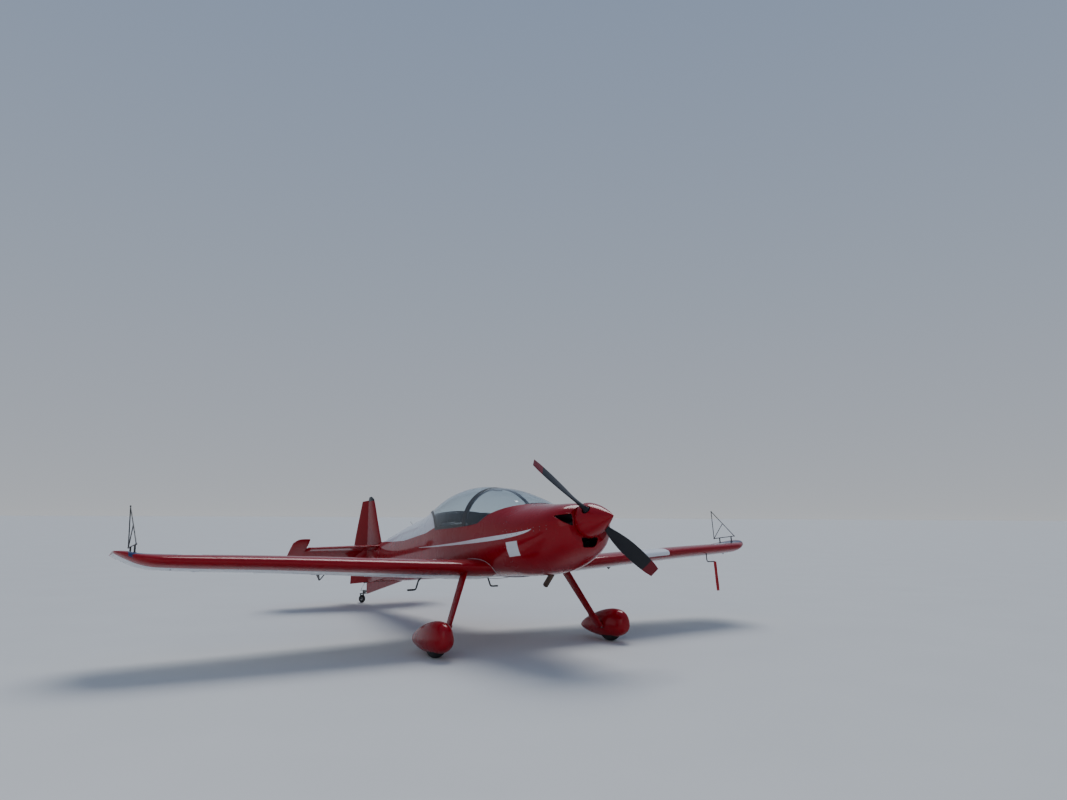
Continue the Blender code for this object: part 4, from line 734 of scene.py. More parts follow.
def skin_x(y, z):
    """The x at which the nose's skin passes a point of the front view."""
    near, far = NOSE_X, 0.80
    for _ in range(24):
        middle_x = (near + far) / 2
        half, middle, top, bottom, round_up, round_down = read_rows(FUSELAGE, middle_x)
        power, reach = (round_up, top - middle) if z > middle else (round_down, middle - bottom)
        inside = (abs(y) / half) ** power + (abs(z - middle) / reach) ** power < 1.0
        near, far = (near, middle_x) if inside else (middle_x, far)
    return (near + far) / 2


for name, edge, sign in (("inlet_lip_left", INLET_EDGE, 1.0), ("inlet_lip_right", INLET_EDGE, -1.0),
                         ("chin_lip", CHIN_EDGE, 1.0)):
    path = [(skin_x(y, z) - LIP_SET_BACK, sign * y, z) for y, z in edge]
    lip = tube(name, path, LIP_RADIUS, red_paint, 0.0, 12, closed=True)
    add_fitting(name, [lip], red_paint, HEAD_CREASE)

# %% [markdown]
# ## Cabin skin and glazing
# The glazing lies flush in the body's own surface. One line seen from the side, the sill,
# divides skin from glass, so the cabin skin is the shell below it and the windscreen, the arch
# and the canopy are the shell above it, each between its own stations.

# %% The sill line and the canopy's rear edge
SILL = ((0.434, 1.576), (0.060, 1.498), (-0.170, 1.418), (-1.360, 1.470), (-2.600, 1.524))
TAIL_SPLIT_X = -1.900
SKIN = 0.016
DECK_Z = 1.468
DECK_FRONT_X = -1.340
DECK_REAR_X = -4.440
DECK_STEP = 0.014
DECK_UNDERLAP = 0.030
DECK_GAP = 0.001
CANOPY_REAR_X = -2.440
CANOPY_FOOT = (-1.352, 0.482)
CANOPY_CURVE = 1.2
EDGE_STEPS = 24
EDGE_REACH = 0.60
EDGE_FRONT_X = 1.0
SILL_PITCH = 0.03
CABIN_MIDDLE_Z = 1.250
FIT = 0.0003


def sill_line(rear, front, lift):
    xs = stations(rear, front, SILL_PITCH)
    return [(x, read_rows(SILL, x)[0] + lift) for x in reversed(xs)]


def above_sill(rear, front, lift):
    return prism("above_sill", sill_line(rear, front, lift) + [(rear, SKY), (front, SKY)], -WIDE, WIDE)


def ahead_of_edge(shift, low=1.0, high=SKY):
    """Everything ahead of the canopy's rear edge, which runs aft to a rounded point."""
    foot_x, foot_y = CANOPY_FOOT
    edge = []
    for i in range(-EDGE_STEPS, EDGE_STEPS + 1):
        y = EDGE_REACH * math.sin(math.pi / 2 * i / EDGE_STEPS)
        share = (abs(y) / foot_y) ** CANOPY_CURVE
        edge.append((CANOPY_REAR_X + (foot_x - CANOPY_REAR_X) * share + shift, y))
    edge += [(EDGE_FRONT_X, EDGE_REACH), (EDGE_FRONT_X, -EDGE_REACH)]
    return prism("ahead", edge, low, high, "z")


deck_place = block("deck", (TAIL_SPLIT_X - LONG_OVERRUN, -WIDE, DECK_Z - FIT),
                   (DECK_FRONT_X + DECK_GAP, WIDE, SKY))
cabin = carve(body_shell("cabin_skin", TAIL_SPLIT_X, COWL_REAR_X - SEAM / 2, SKIN),
              ("DIFFERENCE", above_sill(DECK_FRONT_X, SILL[0][0] + OVERRUN, 0.0)),
              ("DIFFERENCE", deck_place))
for face in cabin.polygons:
    outward_share = face.normal.y * face.center.y + face.normal.z * (face.center.z - CABIN_MIDDLE_Z)
    face.material_index = 0 if outward_share > 0 else 1
show("cabin_skin", cabin, "airframe", [fuselage_paint, trim_black], ["cabin_shell"])

# %% Windscreen, arch and sliding canopy
ARCH_X = -0.500
ARCH_WIDTH = 0.045
ARCH_DEPTH = 0.026
GLASS = 0.006
FRAME_WIDTH = 0.034
FRAME_BAND = 0.056
FRAME_DEPTH = 0.008
CANOPY_GAP = 0.006
SCREEN_CUT = (-0.9, 0.6)
SCREEN_TOE = 0.010
HOOD_CUT = (-3.0, 0.0)
arch_front = ARCH_X + ARCH_WIDTH
screen = carve(body_shell("windscreen_acrylic", arch_front + FIT, SILL[0][0] + SCREEN_TOE, GLASS),
               ("INTERSECT", above_sill(*SCREEN_CUT, SEAM)))
show("windscreen_acrylic", screen, "airframe", acrylic, ["windscreen"])
arch = carve(body_shell("windscreen_bow", ARCH_X, arch_front, ARCH_DEPTH),
             ("INTERSECT", above_sill(*SCREEN_CUT, SEAM)))
show("windscreen_bow", arch, "airframe", satin_black, ["windscreen_arch"])
hood_front = ARCH_X - CANOPY_GAP
hood_rear = CANOPY_REAR_X - OVERRUN
pane = carve(above_sill(HOOD_CUT[0], hood_front - FRAME_WIDTH, FRAME_WIDTH),
             ("INTERSECT", ahead_of_edge(FRAME_BAND)))
rim = carve(body_shell("canopy_rim", hood_rear, hood_front, FRAME_DEPTH),
            ("INTERSECT", above_sill(*HOOD_CUT, SEAM)),
            ("INTERSECT", ahead_of_edge(0.0)), ("DIFFERENCE", pane))
show("canopy_rim", rim, "canopy", satin_black, ["canopy_frame"])
bubble = carve(body_shell("canopy_bubble", hood_rear, hood_front - FRAME_WIDTH - FIT, GLASS),
               ("INTERSECT", above_sill(*HOOD_CUT, FRAME_WIDTH + FIT)),
               ("INTERSECT", ahead_of_edge(FRAME_BAND + SEAM)))
show("canopy_bubble", bubble, "canopy", acrylic, ["canopy_glass"])

# %% Grab handle under the canopy's front bow
HANDLE_HALF = 0.065
HANDLE_DROP = 0.034
HANDLE_RADIUS = 0.006
HANDLE_BEND = 0.015
bow_x = hood_front - FRAME_WIDTH / 2
bow_z = read_rows(FUSELAGE, bow_x)[2] - FRAME_DEPTH
grip_path = [(bow_x, -HANDLE_HALF, bow_z), (bow_x, -HANDLE_HALF, bow_z - HANDLE_DROP),
             (bow_x, HANDLE_HALF, bow_z - HANDLE_DROP), (bow_x, HANDLE_HALF, bow_z)]
handle = tube("handle", grip_path, HANDLE_RADIUS, satin_black, HANDLE_BEND)
add_fitting("canopy_grab_handle", [handle], satin_black, TUBE_CREASE, "canopy")

# %% [markdown]
# ## Turtledeck, tail cone and track
# Behind the canopy the body's top is a separate pale fairing, set in by a step so that the
# canopy can slide over it. A dark track runs down its middle to the fin.

# %% Turtledeck, track and tail cone
TRACK_REAR_X = -4.100
TRACK_HALF_WIDTH = 0.014
TRACK_HEIGHT = 0.005
POST_REACH = (0.7, 1.8)
BEHIND_TAIL = -5.4
TAILPLANE_Z = 1.530
ELEVATOR_X = -4.990
RUDDER_HINGE = ((-5.092, 1.000), (-4.980, 2.345))
RUDDER_POST_GAP = 0.036
ELEVATOR_NOSE = 0.027
HINGE_CLEARANCE = 0.014
TORQUE_BORE = 0.0136
TORQUE_REACH = 0.3
GAP_REACH = 0.2


def torque_bore():
    """The hole in which the elevator's tube turns."""
    ends = [(ELEVATOR_X, y, TAILPLANE_Z) for y in (-TORQUE_REACH, TORQUE_REACH)]
    return bar("torque", *ends, TORQUE_BORE)


def rudder_hinge_x(z):
    (low_x, low_z), (high_x, high_z) = RUDDER_HINGE
    return low_x + (high_x - low_x) * (z - low_z) / (high_z - low_z)


TAILPLANE = ((0.000, -4.330, 0.075), (0.600, -4.510, 0.066), (1.085, -4.660, 0.056))
FLAT_BACK_SHARES = (0.0, 0.004, 0.015, 0.03, 0.06, 0.10, 0.16, 0.25, 0.37, 0.50, 0.75, 1.0)
BACK_TAPER = 0.14


def flat_back(nose, rear, thickness, grow, place):
    """A section with a rounded nose that is cut off flat ahead of its hinge."""
    half = thickness / 2 + grow
    upper = []
    for s in FLAT_BACK_SHARES:
        fade = 1.0 - BACK_TAPER * max(s - 0.5, 0.0) / 0.5
        height = half * (1 - (1 - min(s / 0.5, 1.0)) ** 2) ** 0.5 * fade
        upper.append((nose + grow - s * (nose - rear + 2 * grow), height))
    return [place(x, h) for x, h in upper + [(x, -h) for x, h in reversed(upper[1:])]]


def tailplane_solid(grow=0.0):
    rows = [(-y, nose, t) for y, nose, t in reversed(TAILPLANE[1:])] + list(TAILPLANE)
    rear = ELEVATOR_X + ELEVATOR_NOSE + HINGE_CLEARANCE
    rings = []
    for y, nose, thickness in rows:
        rings.append(flat_back(nose, rear, thickness, grow, lambda x, h, y=y: (x, y, TAILPLANE_Z + h)))
    return loft("tailplane", rings)


above_deck = block("band", (DECK_REAR_X - LONG_OVERRUN, -WIDE, DECK_Z),
                   (DECK_FRONT_X + LONG_OVERRUN, WIDE, SKY))
deck = carve(body_solid("turtledeck_fairing", DECK_REAR_X, DECK_FRONT_X, -DECK_STEP),
             ("INTERSECT", above_deck),
             ("DIFFERENCE", ahead_of_edge(DECK_UNDERLAP)),
             ("DIFFERENCE", tailplane_solid(FIT)))
# The upright face under the canopy belongs to the cabin, so it is dark.
for face in deck.polygons:
    face.material_index = 1 if face.normal.x > 0.25 and abs(face.normal.z) < 0.05 else 0
show("turtledeck_fairing", deck, "airframe", [deck_paint, trim_black], ["turtledeck"])
strip = block("strip", (TRACK_REAR_X - LONG_OVERRUN, -TRACK_HALF_WIDTH, DECK_Z),
              (CANOPY_REAR_X, TRACK_HALF_WIDTH, SKY))
track_front = CANOPY_REAR_X + DECK_UNDERLAP
under_track = body_solid("under", TRACK_REAR_X - 2 * LONG_OVERRUN, CANOPY_REAR_X + LONG_OVERRUN,
                         SEAM - DECK_STEP)
track = carve(body_solid("spine_track", TRACK_REAR_X, track_front, TRACK_HEIGHT - DECK_STEP),
              ("INTERSECT", strip),
              ("DIFFERENCE", under_track))
show("spine_track", track, "airframe", satin_black, ["canopy_track"])
post = [(rudder_hinge_x(z) + RUDDER_POST_GAP, z) for z in POST_REACH]
gap_outline = post + [(BEHIND_TAIL, z) for z in reversed(POST_REACH)]
deck_place = block("deck", (DECK_REAR_X - FIT, -WIDE, DECK_Z - FIT),
                   (TAIL_SPLIT_X + LONG_OVERRUN, WIDE, SKY))
cone = carve(body_solid("tail_cone_skin", TAIL_X, TAIL_SPLIT_X - FIT),
             ("DIFFERENCE", deck_place),
             ("DIFFERENCE", torque_bore()),
             ("DIFFERENCE", prism("rudder_gap", gap_outline, -GAP_REACH, GAP_REACH)),
             ("DIFFERENCE", tailplane_solid(FIT)))
show("tail_cone_skin", cone, "airframe", fuselage_paint, ["tail_cone"])

# %% [markdown]
# ## Wings
# A wing is one symmetric section that grows and shrinks along the span. Its upper skin is red
# with painted bands, and its underside is pale from just behind the nose, so the faces are
# sorted into three material slots by where they lie on the section.

# %% Wing sections
WING = (
    (0.300, -0.030, 1.580, 0.925, 0.235),
    (0.560, -0.035, 1.560, 0.928, 0.222),
    (0.760, -0.045, 1.515, 0.937, 0.200),
    (1.150, -0.055, 1.455, 0.955, 0.193),
    (2.700, -0.170, 1.215, 1.045, 0.168),
    (3.800, -0.253, 1.045, 1.100, 0.146),
    (3.960, -0.330, 0.965, 1.128, 0.124),
    (4.085, -0.455, 0.800, 1.178, 0.084),
    (4.170, -0.610, 0.530, 1.214, 0.028),
)
SECTION_POINTS = 30
TIP_CURVE_Y = 3.70
SPAN_PITCH = 0.10
TIP_PITCH = 0.02
PALE_FROM = 0.130
UPPER_SHARE = 0.12
AILERON_Y = (1.100, 3.770)
HINGE_SHARE = 0.760
SURFACE_GAP = 0.008


def section_half(share):
    """Half the thickness of a symmetric section, for a thickness of 1, at a share of its chord."""
    s = share
    return (0.2969 * math.sqrt(s) - 0.1260 * s - 0.3516 * s ** 2 + 0.2843 * s ** 3 - 0.1015 * s ** 4) / 0.2


def section_outline(chord, thickness, count=SECTION_POINTS):
    upper = []
    for i in range(count):
        s = 0.5 * (1 - math.cos(math.pi * i / (count - 1)))
        upper.append((s * chord, max(section_half(s) * thickness, 0.0012) if i else 0.0))
    return upper + [(s, -z) for s, z in reversed(upper[1:])]


def straight_row(y):
    """The wing's row at y on straight lines between the table's rows, as its hinge line runs."""
    for low, high in zip(WING, WING[1:]):
        if y <= high[0]:
            t = (y - low[0]) / (high[0] - low[0])
            return [a + (b - a) * t for a, b in zip(low[1:], high[1:])]
    return list(WING[-1][1:])


def wing_solid(sign, grow=0.0):
    ys = stations(WING[0][0], TIP_CURVE_Y, SPAN_PITCH)[:-1] + stations(TIP_CURVE_Y, WING[-1][0], TIP_PITCH)
    rings = []
    for y in ys:
        nose, chord, height, thickness = read_rows(WING, y)
        rings.append([(nose + grow - s, sign * y, height + z)
                      for s, z in section_outline(chord + 2 * grow, thickness + 2 * grow)])
    return loft("wing", rings)


def hinge_at(y):
    """The aileron's straight hinge line at y: x, z and the radius of the aileron's nose."""
    ends = []
    for end in AILERON_Y:
        nose, chord, height, thickness = straight_row(end)
        ends.append((nose - HINGE_SHARE * chord, height, section_half(HINGE_SHARE) * thickness - 0.001))
    t = (y - AILERON_Y[0]) / (AILERON_Y[1] - AILERON_Y[0])
    return tuple(a + (b - a) * t for a, b in zip(*ends))


def sort_wing_faces(mesh):
    """Slot 0 is the nose below its middle, 1 the upper skin, 2 the pale underside."""
    for face in mesh.polygons:
        x, y, z = face.center
        nose, chord, height, thickness = read_rows(WING, abs(y))
        if z > height - UPPER_SHARE * thickness:
            face.material_index = 1
        elif (nose - x) / chord > PALE_FROM:
            face.material_index = 2


# %% Horn and push rod, square to the hinge line
HORN_Y = 2.050
HORN_DROP = 0.118
HORN_THICKNESS = 0.006
HORN_FRONT = 0.020
HORN_REAR = 0.125
HORN_TIP = 0.041
HORN_TOE = 0.012
HORN_LIP = 0.010
HORN_KNEE = 0.040
PUSH_ROD_RADIUS = 0.006
PUSH_ROD_LENGTH = 0.240
PIN_GAP = 0.0008


def hinge_way(sign):
    """The hinge line's direction, always towards +y."""
    start, end = hinge_at(AILERON_Y[0]), hinge_at(AILERON_Y[1])
    way = Vector((end[0] - start[0], sign * (AILERON_Y[1] - AILERON_Y[0]), end[1] - start[1]))
    return way.normalized() * sign


def horn_place(sign, ahead, above, beside):
    """A point of the horn, measured square to the hinge line."""
    hinge, height, _ = hinge_at(HORN_Y)
    along = hinge_way(sign)
    front = (Vector((1.0, 0.0, 0.0)) - along * along.x).normalized()
    middle = Vector((hinge, sign * HORN_Y, height))
    return middle + front * ahead + front.cross(along) * above + along * beside


def push_rod_line(sign):
    """The rod's rear end at the horn's tip, and the way from there to its front."""
    beside = -sign * (HORN_THICKNESS / 2 + PUSH_ROD_RADIUS + PIN_GAP)
    foot = horn_place(sign, HORN_TIP, HORN_LIP - HORN_DROP, beside)
    arm = foot - horn_place(sign, 0.0, 0.0, beside)
    return foot, -hinge_way(sign).cross(arm).normalized()


# %% Wings with their aileron bays
ROOT_REACH = (-2.42, 0.7)
BAY_REAR_X = -2.0
BAY_HEIGHT = (0.5, 1.5)
SLOT_START = 0.45
SLOT_OVERRUN = 0.075
SLOT_RADIUS = PUSH_ROD_RADIUS + 0.012
for side, sign in SIDES:
    bay = []
    for y in AILERON_Y:
        hinge, _, radius = hinge_at(y)
        bay.append((hinge + radius + SURFACE_GAP, sign * y))
    bay += [(BAY_REAR_X, sign * y) for y in reversed(AILERON_Y)]
    foot, rod_way = push_rod_line(sign)
    slot_start = foot + rod_way * (PUSH_ROD_LENGTH * SLOT_START)
    slot_end = foot + rod_way * (PUSH_ROD_LENGTH + SLOT_OVERRUN)
    wing = carve(wing_solid(sign),
                 ("DIFFERENCE", body_solid("root", *ROOT_REACH, SEAM)),
                 ("DIFFERENCE", prism("bay", bay, *BAY_HEIGHT, "z")),
                 ("DIFFERENCE", bar("rod_slot", slot_start, slot_end, SLOT_RADIUS)))
    sort_wing_faces(wing)
    looks = [red_paint, wing_top_paint, white_paint]
    show("wing_skin_" + side, wing, "airframe", looks, ["wing_" + side], SURFACE_CREASE)

# %% Tie-down rings under the wings
LUG_X = -0.476
LUG_Y = 3.687
LUG_LOW_Z = 1.010
LUG_TOP_Z = 1.085
STEM_FOOT_Z = LUG_LOW_Z + 0.030
STEM_RADIUS = 0.009
RING_RADIUS = 0.017
RING_MIDDLE_Z = LUG_LOW_Z + 0.0215
RING_ROD = 0.0045
for side, sign in SIDES:
    y = sign * LUG_Y
    stem = bar("stem", (LUG_X, y, STEM_FOOT_Z), (LUG_X, y, LUG_TOP_Z), STEM_RADIUS, 20)
    loop = [(LUG_X + RING_RADIUS * c, y, RING_MIDDLE_Z + RING_RADIUS * s) for c, s in round_steps(32)]
    ring = tube("ring", loop, RING_ROD, steel, 0.0, 12, closed=True)
    add_fitting("tie_down_ring_" + side, [stem, ring], steel, TUBE_CREASE)

# %% [markdown]
# ## Ailerons
# Each aileron has a round nose about its hinge line and flat sides to its trailing edge. The
# horn and push rod below it are black. The nose stays the same distance from the wing as it
# turns, because its centre is the hinge.


# %% Ailerons, horns and push rods
TAIL_HALF_THICKNESS = 0.0015
PIN_HALF = 0.006
PIN_RADIUS = 0.0045
HORN_ROOT_Z = -0.01
ROD_OVERHANG = 0.012


def surface_section(hinge, radius, tail, place, steps=12):
    """A round nose about a hinge, then flat sides to a thin tail."""
    outline = []
    for i in range(steps):
        angle = math.pi / 2 - math.pi * i / (steps - 1)
        outline.append((hinge + radius * math.cos(angle), radius * math.sin(angle)))
    outline += [(tail, -TAIL_HALF_THICKNESS), (tail, TAIL_HALF_THICKNESS)]
    return [place(x, h) for x, h in outline]


for side, sign in SIDES:
    rings = []
    for y in stations(AILERON_Y[0] + SURFACE_GAP, AILERON_Y[1] - SURFACE_GAP, SPAN_PITCH):
        nose, chord, _, _ = straight_row(y)
        hinge, axis_z, radius = hinge_at(y)
        rings.append(surface_section(
            hinge, radius, nose - chord, lambda x, h, y=y, c=axis_z: (x, sign * y, c + h)))
    aileron = loft("aileron_skin", rings)
    for face in aileron.polygons:
        level_z = hinge_at(abs(face.center.y))[1]
        face.material_index = 0 if face.center.z > level_z else 1
    body = "aileron_" + side
    looks = [wing_top_paint, white_paint]
    show("aileron_skin_" + side, aileron, body, looks, [body], SURFACE_CREASE)
    plate = [(0.25 * HORN_TIP, HORN_ROOT_Z), (-HORN_REAR, HORN_ROOT_Z), (HORN_TIP - HORN_TOE, -HORN_DROP),
             (HORN_TIP + HORN_LIP, -HORN_DROP), (HORN_FRONT, -HORN_KNEE)]
    faces = [[horn_place(sign, x, z, w * HORN_THICKNESS / 2) for x, z in plate] for w in (-1, 1)]
    pin_ends = [horn_place(sign, HORN_TIP, HORN_LIP - HORN_DROP, beside) for beside in (-PIN_HALF, PIN_HALF)]
    horn = [loft("horn", faces), bar("pin", *pin_ends, PIN_RADIUS, 16)]
    add_fitting("aileron_horn_" + side, horn, satin_black, body=body)
    foot, rod_way = push_rod_line(sign)
    rod_ends = [foot - rod_way * ROD_OVERHANG, foot + rod_way * PUSH_ROD_LENGTH]
    rod = tube("rod", rod_ends, PUSH_ROD_RADIUS, satin_black)
    show("push_rod_tube_" + side, rod, "push_rod_" + side, satin_black, ["aileron_push_rod_" + side],
         TUBE_CREASE)

# %% [markdown]
# ## Tail surfaces
# The tailplane and the fin end flat ahead of their hinges. The elevator and the rudder are built
# straight and then turned to where they rest: the elevator hangs on its lower stop, and the
# rudder lies over with the tail wheel.

# %% Tailplane, fin and ventral fin
FIN = ((1.480, -4.390, 0.075), (1.600, -4.440, 0.072), (1.930, -4.580, 0.060),
       (2.345, -4.755, 0.046), (2.400, -4.850, 0.022))
FIN_BODY_TOP_Z = 2.30
FIN_CAP_Z = 2.318
FIN_SEAT_X = -3.74
VENTRAL_SEAT_X = -3.25
TAIL_PITCH = 0.05
CAP_PITCH = 0.012
VENTRAL = ((-3.640, 0.930), (-5.100, 0.798), (-5.100, 0.9745), (-5.020, 0.9745),
           (-4.960, 1.100), (-3.640, 1.050))
VENTRAL_HALF = 0.013
show("tailplane_skin", tailplane_solid(), "airframe", red_paint, ["tailplane"], SURFACE_CREASE)


def fin_ring(z):
    nose, thickness = read_rows(FIN, z)
    return flat_back(nose, rudder_hinge_x(z) + RUDDER_POST_GAP, thickness, 0.0, lambda x, h: (x, h, z))


fin_heights = stations(FIN[0][0], FIN_BODY_TOP_Z, TAIL_PITCH) + stations(FIN_CAP_Z, FIN[-1][0], CAP_PITCH)
fin = carve(loft("fin_skin", [fin_ring(z) for z in fin_heights]),
            ("DIFFERENCE", body_solid("seat", TAIL_X, FIN_SEAT_X, SEAM)),
            ("DIFFERENCE", tailplane_solid(FIT)),
            ("DIFFERENCE", torque_bore()))
for face in fin.polygons:
    face.material_index = 1 if face.center.z > FIN_CAP_Z else 0
show("fin_skin", fin, "airframe", [red_paint, satin_black], ["fin"], SURFACE_CREASE)
ventral = carve(prism("ventral_skin", VENTRAL, -VENTRAL_HALF, VENTRAL_HALF),
                ("DIFFERENCE", body_solid("seat", TAIL_X, VENTRAL_SEAT_X, SEAM)))
show("ventral_skin", ventral, "airframe", red_paint, ["ventral_fin"])

# %% Elevator halves, turned down to their stop
ELEVATOR = ((0.125, -5.100, 0.034), (0.210, -5.340, 0.033), (1.100, -5.300, 0.027))
HORN_BALANCE = ((1.097, -4.640, -5.300, 0.054), (1.270, -4.660, -5.290, 0.046),
                (1.335, -4.760, -5.270, 0.020))
ELEVATOR_DROOP = math.radians(25.0)
elevator_pivot = Vector((ELEVATOR_X, 0.0, TAILPLANE_Z))
droop = (Matrix.Translation(elevator_pivot) @ Matrix.Rotation(-ELEVATOR_DROOP, 4, "Y")
         @ Matrix.Translation(-elevator_pivot))
for side, sign in SIDES:
    rings = [surface_section(ELEVATOR_X, radius, tail, lambda x, h, y=y: (x, sign * y, TAILPLANE_Z + h))
             for y, tail, radius in ELEVATOR]
    horn_rows = []
    for y in stations(HORN_BALANCE[0][0], HORN_BALANCE[-1][0], TIP_PITCH):
        nose, tail, thickness = read_rows(HORN_BALANCE, y)
        outline = section_outline(nose - tail, thickness, 18)
        horn_rows.append([(nose - s, sign * y, TAILPLANE_Z + h) for s, h in outline])
    half = carve(loft("elevator_skin", rings), ("UNION", loft("balance", horn_rows)))
    half.transform(droop)
    show("elevator_skin_" + side, half, "elevator", red_paint, ["elevator_" + side],
         SURFACE_CREASE)

# %% Rudder, turned about its raked hinge
RUDDER = ((0.988, 0.410, 0.024), (1.600, 0.335, 0.030), (2.350, 0.152, 0.019))
RUDDER_REST = math.radians(25.0)
STEERING_ARM = 0.070
BAR_HALF_WIDTH = 0.010
BAR_THICKNESS = 0.012
RUDDER_BAR_Z = 0.978
HEEL_DROP = 0.0244
HEEL_RISE = 0.02
HEEL_RADIUS = 0.008
rudder_foot = Vector((RUDDER_HINGE[0][0], 0.0, RUDDER_HINGE[0][1]))
rudder_top = Vector((RUDDER_HINGE[1][0], 0.0, RUDDER_HINGE[1][1]))
rudder_way = (rudder_top - rudder_foot).normalized()
rake_turn = Quaternion(rudder_way, RUDDER_REST).to_matrix().to_4x4()
swing = Matrix.Translation(rudder_foot) @ rake_turn @ Matrix.Translation(-rudder_foot)
rings = []
for z in stations(RUDDER[0][0], RUDDER[-1][0], TAIL_PITCH):
    chord, radius = read_rows(RUDDER, z)
    hinge = rudder_hinge_x(z)
    rings.append(surface_section(hinge, radius, hinge - chord, lambda x, h, z=z: (x, h, z)))
rudder = loft("rudder_skin", rings)
rudder.transform(swing)
show("rudder_skin", rudder, "rudder", red_paint, ["rudder"], SURFACE_CREASE)
bar_x = rudder_hinge_x(RUDDER_BAR_Z)
reach = STEERING_ARM + BAR_HALF_WIDTH
arms = block("bar", (bar_x - BAR_HALF_WIDTH, -reach, RUDDER_BAR_Z),
             (bar_x + BAR_HALF_WIDTH, reach, RUDDER_BAR_Z + BAR_THICKNESS))
heel_ends = [rudder_foot - rudder_way * HEEL_DROP, rudder_foot + rudder_way * HEEL_RISE]
heel = bar("heel", *heel_ends, HEEL_RADIUS, 24)
arms.transform(swing)
heel.transform(swing)
add_fitting("rudder_bar", [arms, heel], satin_black, body="rudder")

# %% Steering links with swaged ends
SWIVEL_X = -5.255
SWIVEL_BAR_Z = 0.866
LINK_GAP = 0.009
LINK_RADIUS = 0.004
LINK_ROD = LINK_RADIUS * 0.6
SWAGE_LENGTH = 0.026
NUT_REACH = (0.030, 0.034)


def steering_end(sign, pivot_x, z):
    """Where a link meets an arm that has turned with the rudder."""
    x = pivot_x - sign * STEERING_ARM * math.sin(RUDDER_REST)
    return Vector((x, sign * STEERING_ARM * math.cos(RUDDER_REST), z))


for side, sign in SIDES:
    top = steering_end(sign, rudder_hinge_x(RUDDER_BAR_Z), RUDDER_BAR_Z - LINK_GAP)
    foot = steering_end(sign, SWIVEL_X, SWIVEL_BAR_Z + LINK_GAP)
    parts = [bar("rod", foot, top, LINK_ROD, 16)]
    for end, other in ((foot, top), (top, foot)):
        inward = (other - end).normalized()
        parts.append(bar("swage", end, end + inward * SWAGE_LENGTH, LINK_RADIUS, 20))
        parts.append(bar("nut", end + inward * NUT_REACH[0], end + inward * NUT_REACH[1], LINK_RADIUS, 6))
    show("steering_rod_" + side, fuse("steering_rod", parts), "link_" + side, steel,
         ["steering_link_" + side], TURNED_CREASE)

# %% [markdown]
# ## Landing gear
# The legs are flat springs with a streamlined section, and each runs into a spat, a teardrop
# shell over the wheel. A spat's width and height follow the thickness of a symmetric section
# from nose to tail, which makes the teardrop.

# %% Legs and spats
LEG_TOP = (-0.200, 0.657, 0.920)
LEG_FOOT = (-0.025, 1.031, 0.168)
LEG_CHORD_TOP = 0.176
LEG_CHORD_FOOT = 0.128
LEG_THICKNESS = 0.026
LEG_CUFF = 0.010
PANT_FRONT = 0.320
PANT_REAR = -0.600
PANT_HALF_WIDTH = 0.118
PANT_TOP = 0.197
PANT_BOTTOM = 0.135
PANT_BLUNTNESS = 0.72
PANT_SQUARENESS = 0.9
PANT_TAIL_LIFT = 0.020
PANT_SHARES = (0.004, 0.970)
PANT_STEPS = 48
CUFF_STATIONS = (0.80, 0.85, 0.90, 0.95, 1.0)
WELL = ((0.030, 0.184), (0.056, 0.168), (0.074, 0.147))
AXLE_RADIUS = 0.020
AXLE_Y = (1.020, 1.226)


def leg_ring(t, sign, grow, count=36):
    x, y, z = (a + (b - a) * t for a, b in zip(LEG_TOP, LEG_FOOT))
    half_chord = (LEG_CHORD_TOP + (LEG_CHORD_FOOT - LEG_CHORD_TOP) * t) / 2 + grow
    half_thickness = LEG_THICKNESS / 2 + grow
    return [(x + half_chord * c, sign * (y + half_thickness * s * (1.0 + 0.25 * c)), z)
            for c, s in round_steps(count)]


def spat_ring(share, sign, count=64):
    full = (max(section_half(share), 0.0) * 2) ** PANT_BLUNTNESS
    x = AXLE[0] + PANT_FRONT + (PANT_REAR - PANT_FRONT) * share
    middle = AXLE[1] + PANT_TAIL_LIFT * (1 - full)
    ring = []
    for c, n in round_steps(count, 0.5):
        reach = PANT_TOP if n > 0 else PANT_BOTTOM
        width = PANT_HALF_WIDTH * full * math.copysign(abs(c) ** PANT_SQUARENESS, c)
        lift = reach * full * math.copysign(abs(n) ** PANT_SQUARENESS, n)
        ring.append((x, sign * (TRACK / 2 + width), middle + lift))
    return ring


def wheel_well(sign, count=72):
    """The hollow round the tyre, narrower towards its sides as the tyre is."""
    rows = [(-half, radius) for half, radius in WELL[::-1]] + list(WELL)
    rings = []
    for half, radius in rows:
        y = sign * TRACK / 2 + half
        rings.append([(AXLE[0] + radius * c, y, AXLE[1] + radius * s) for c, s in round_steps(count)])
    return loft("well", rings)


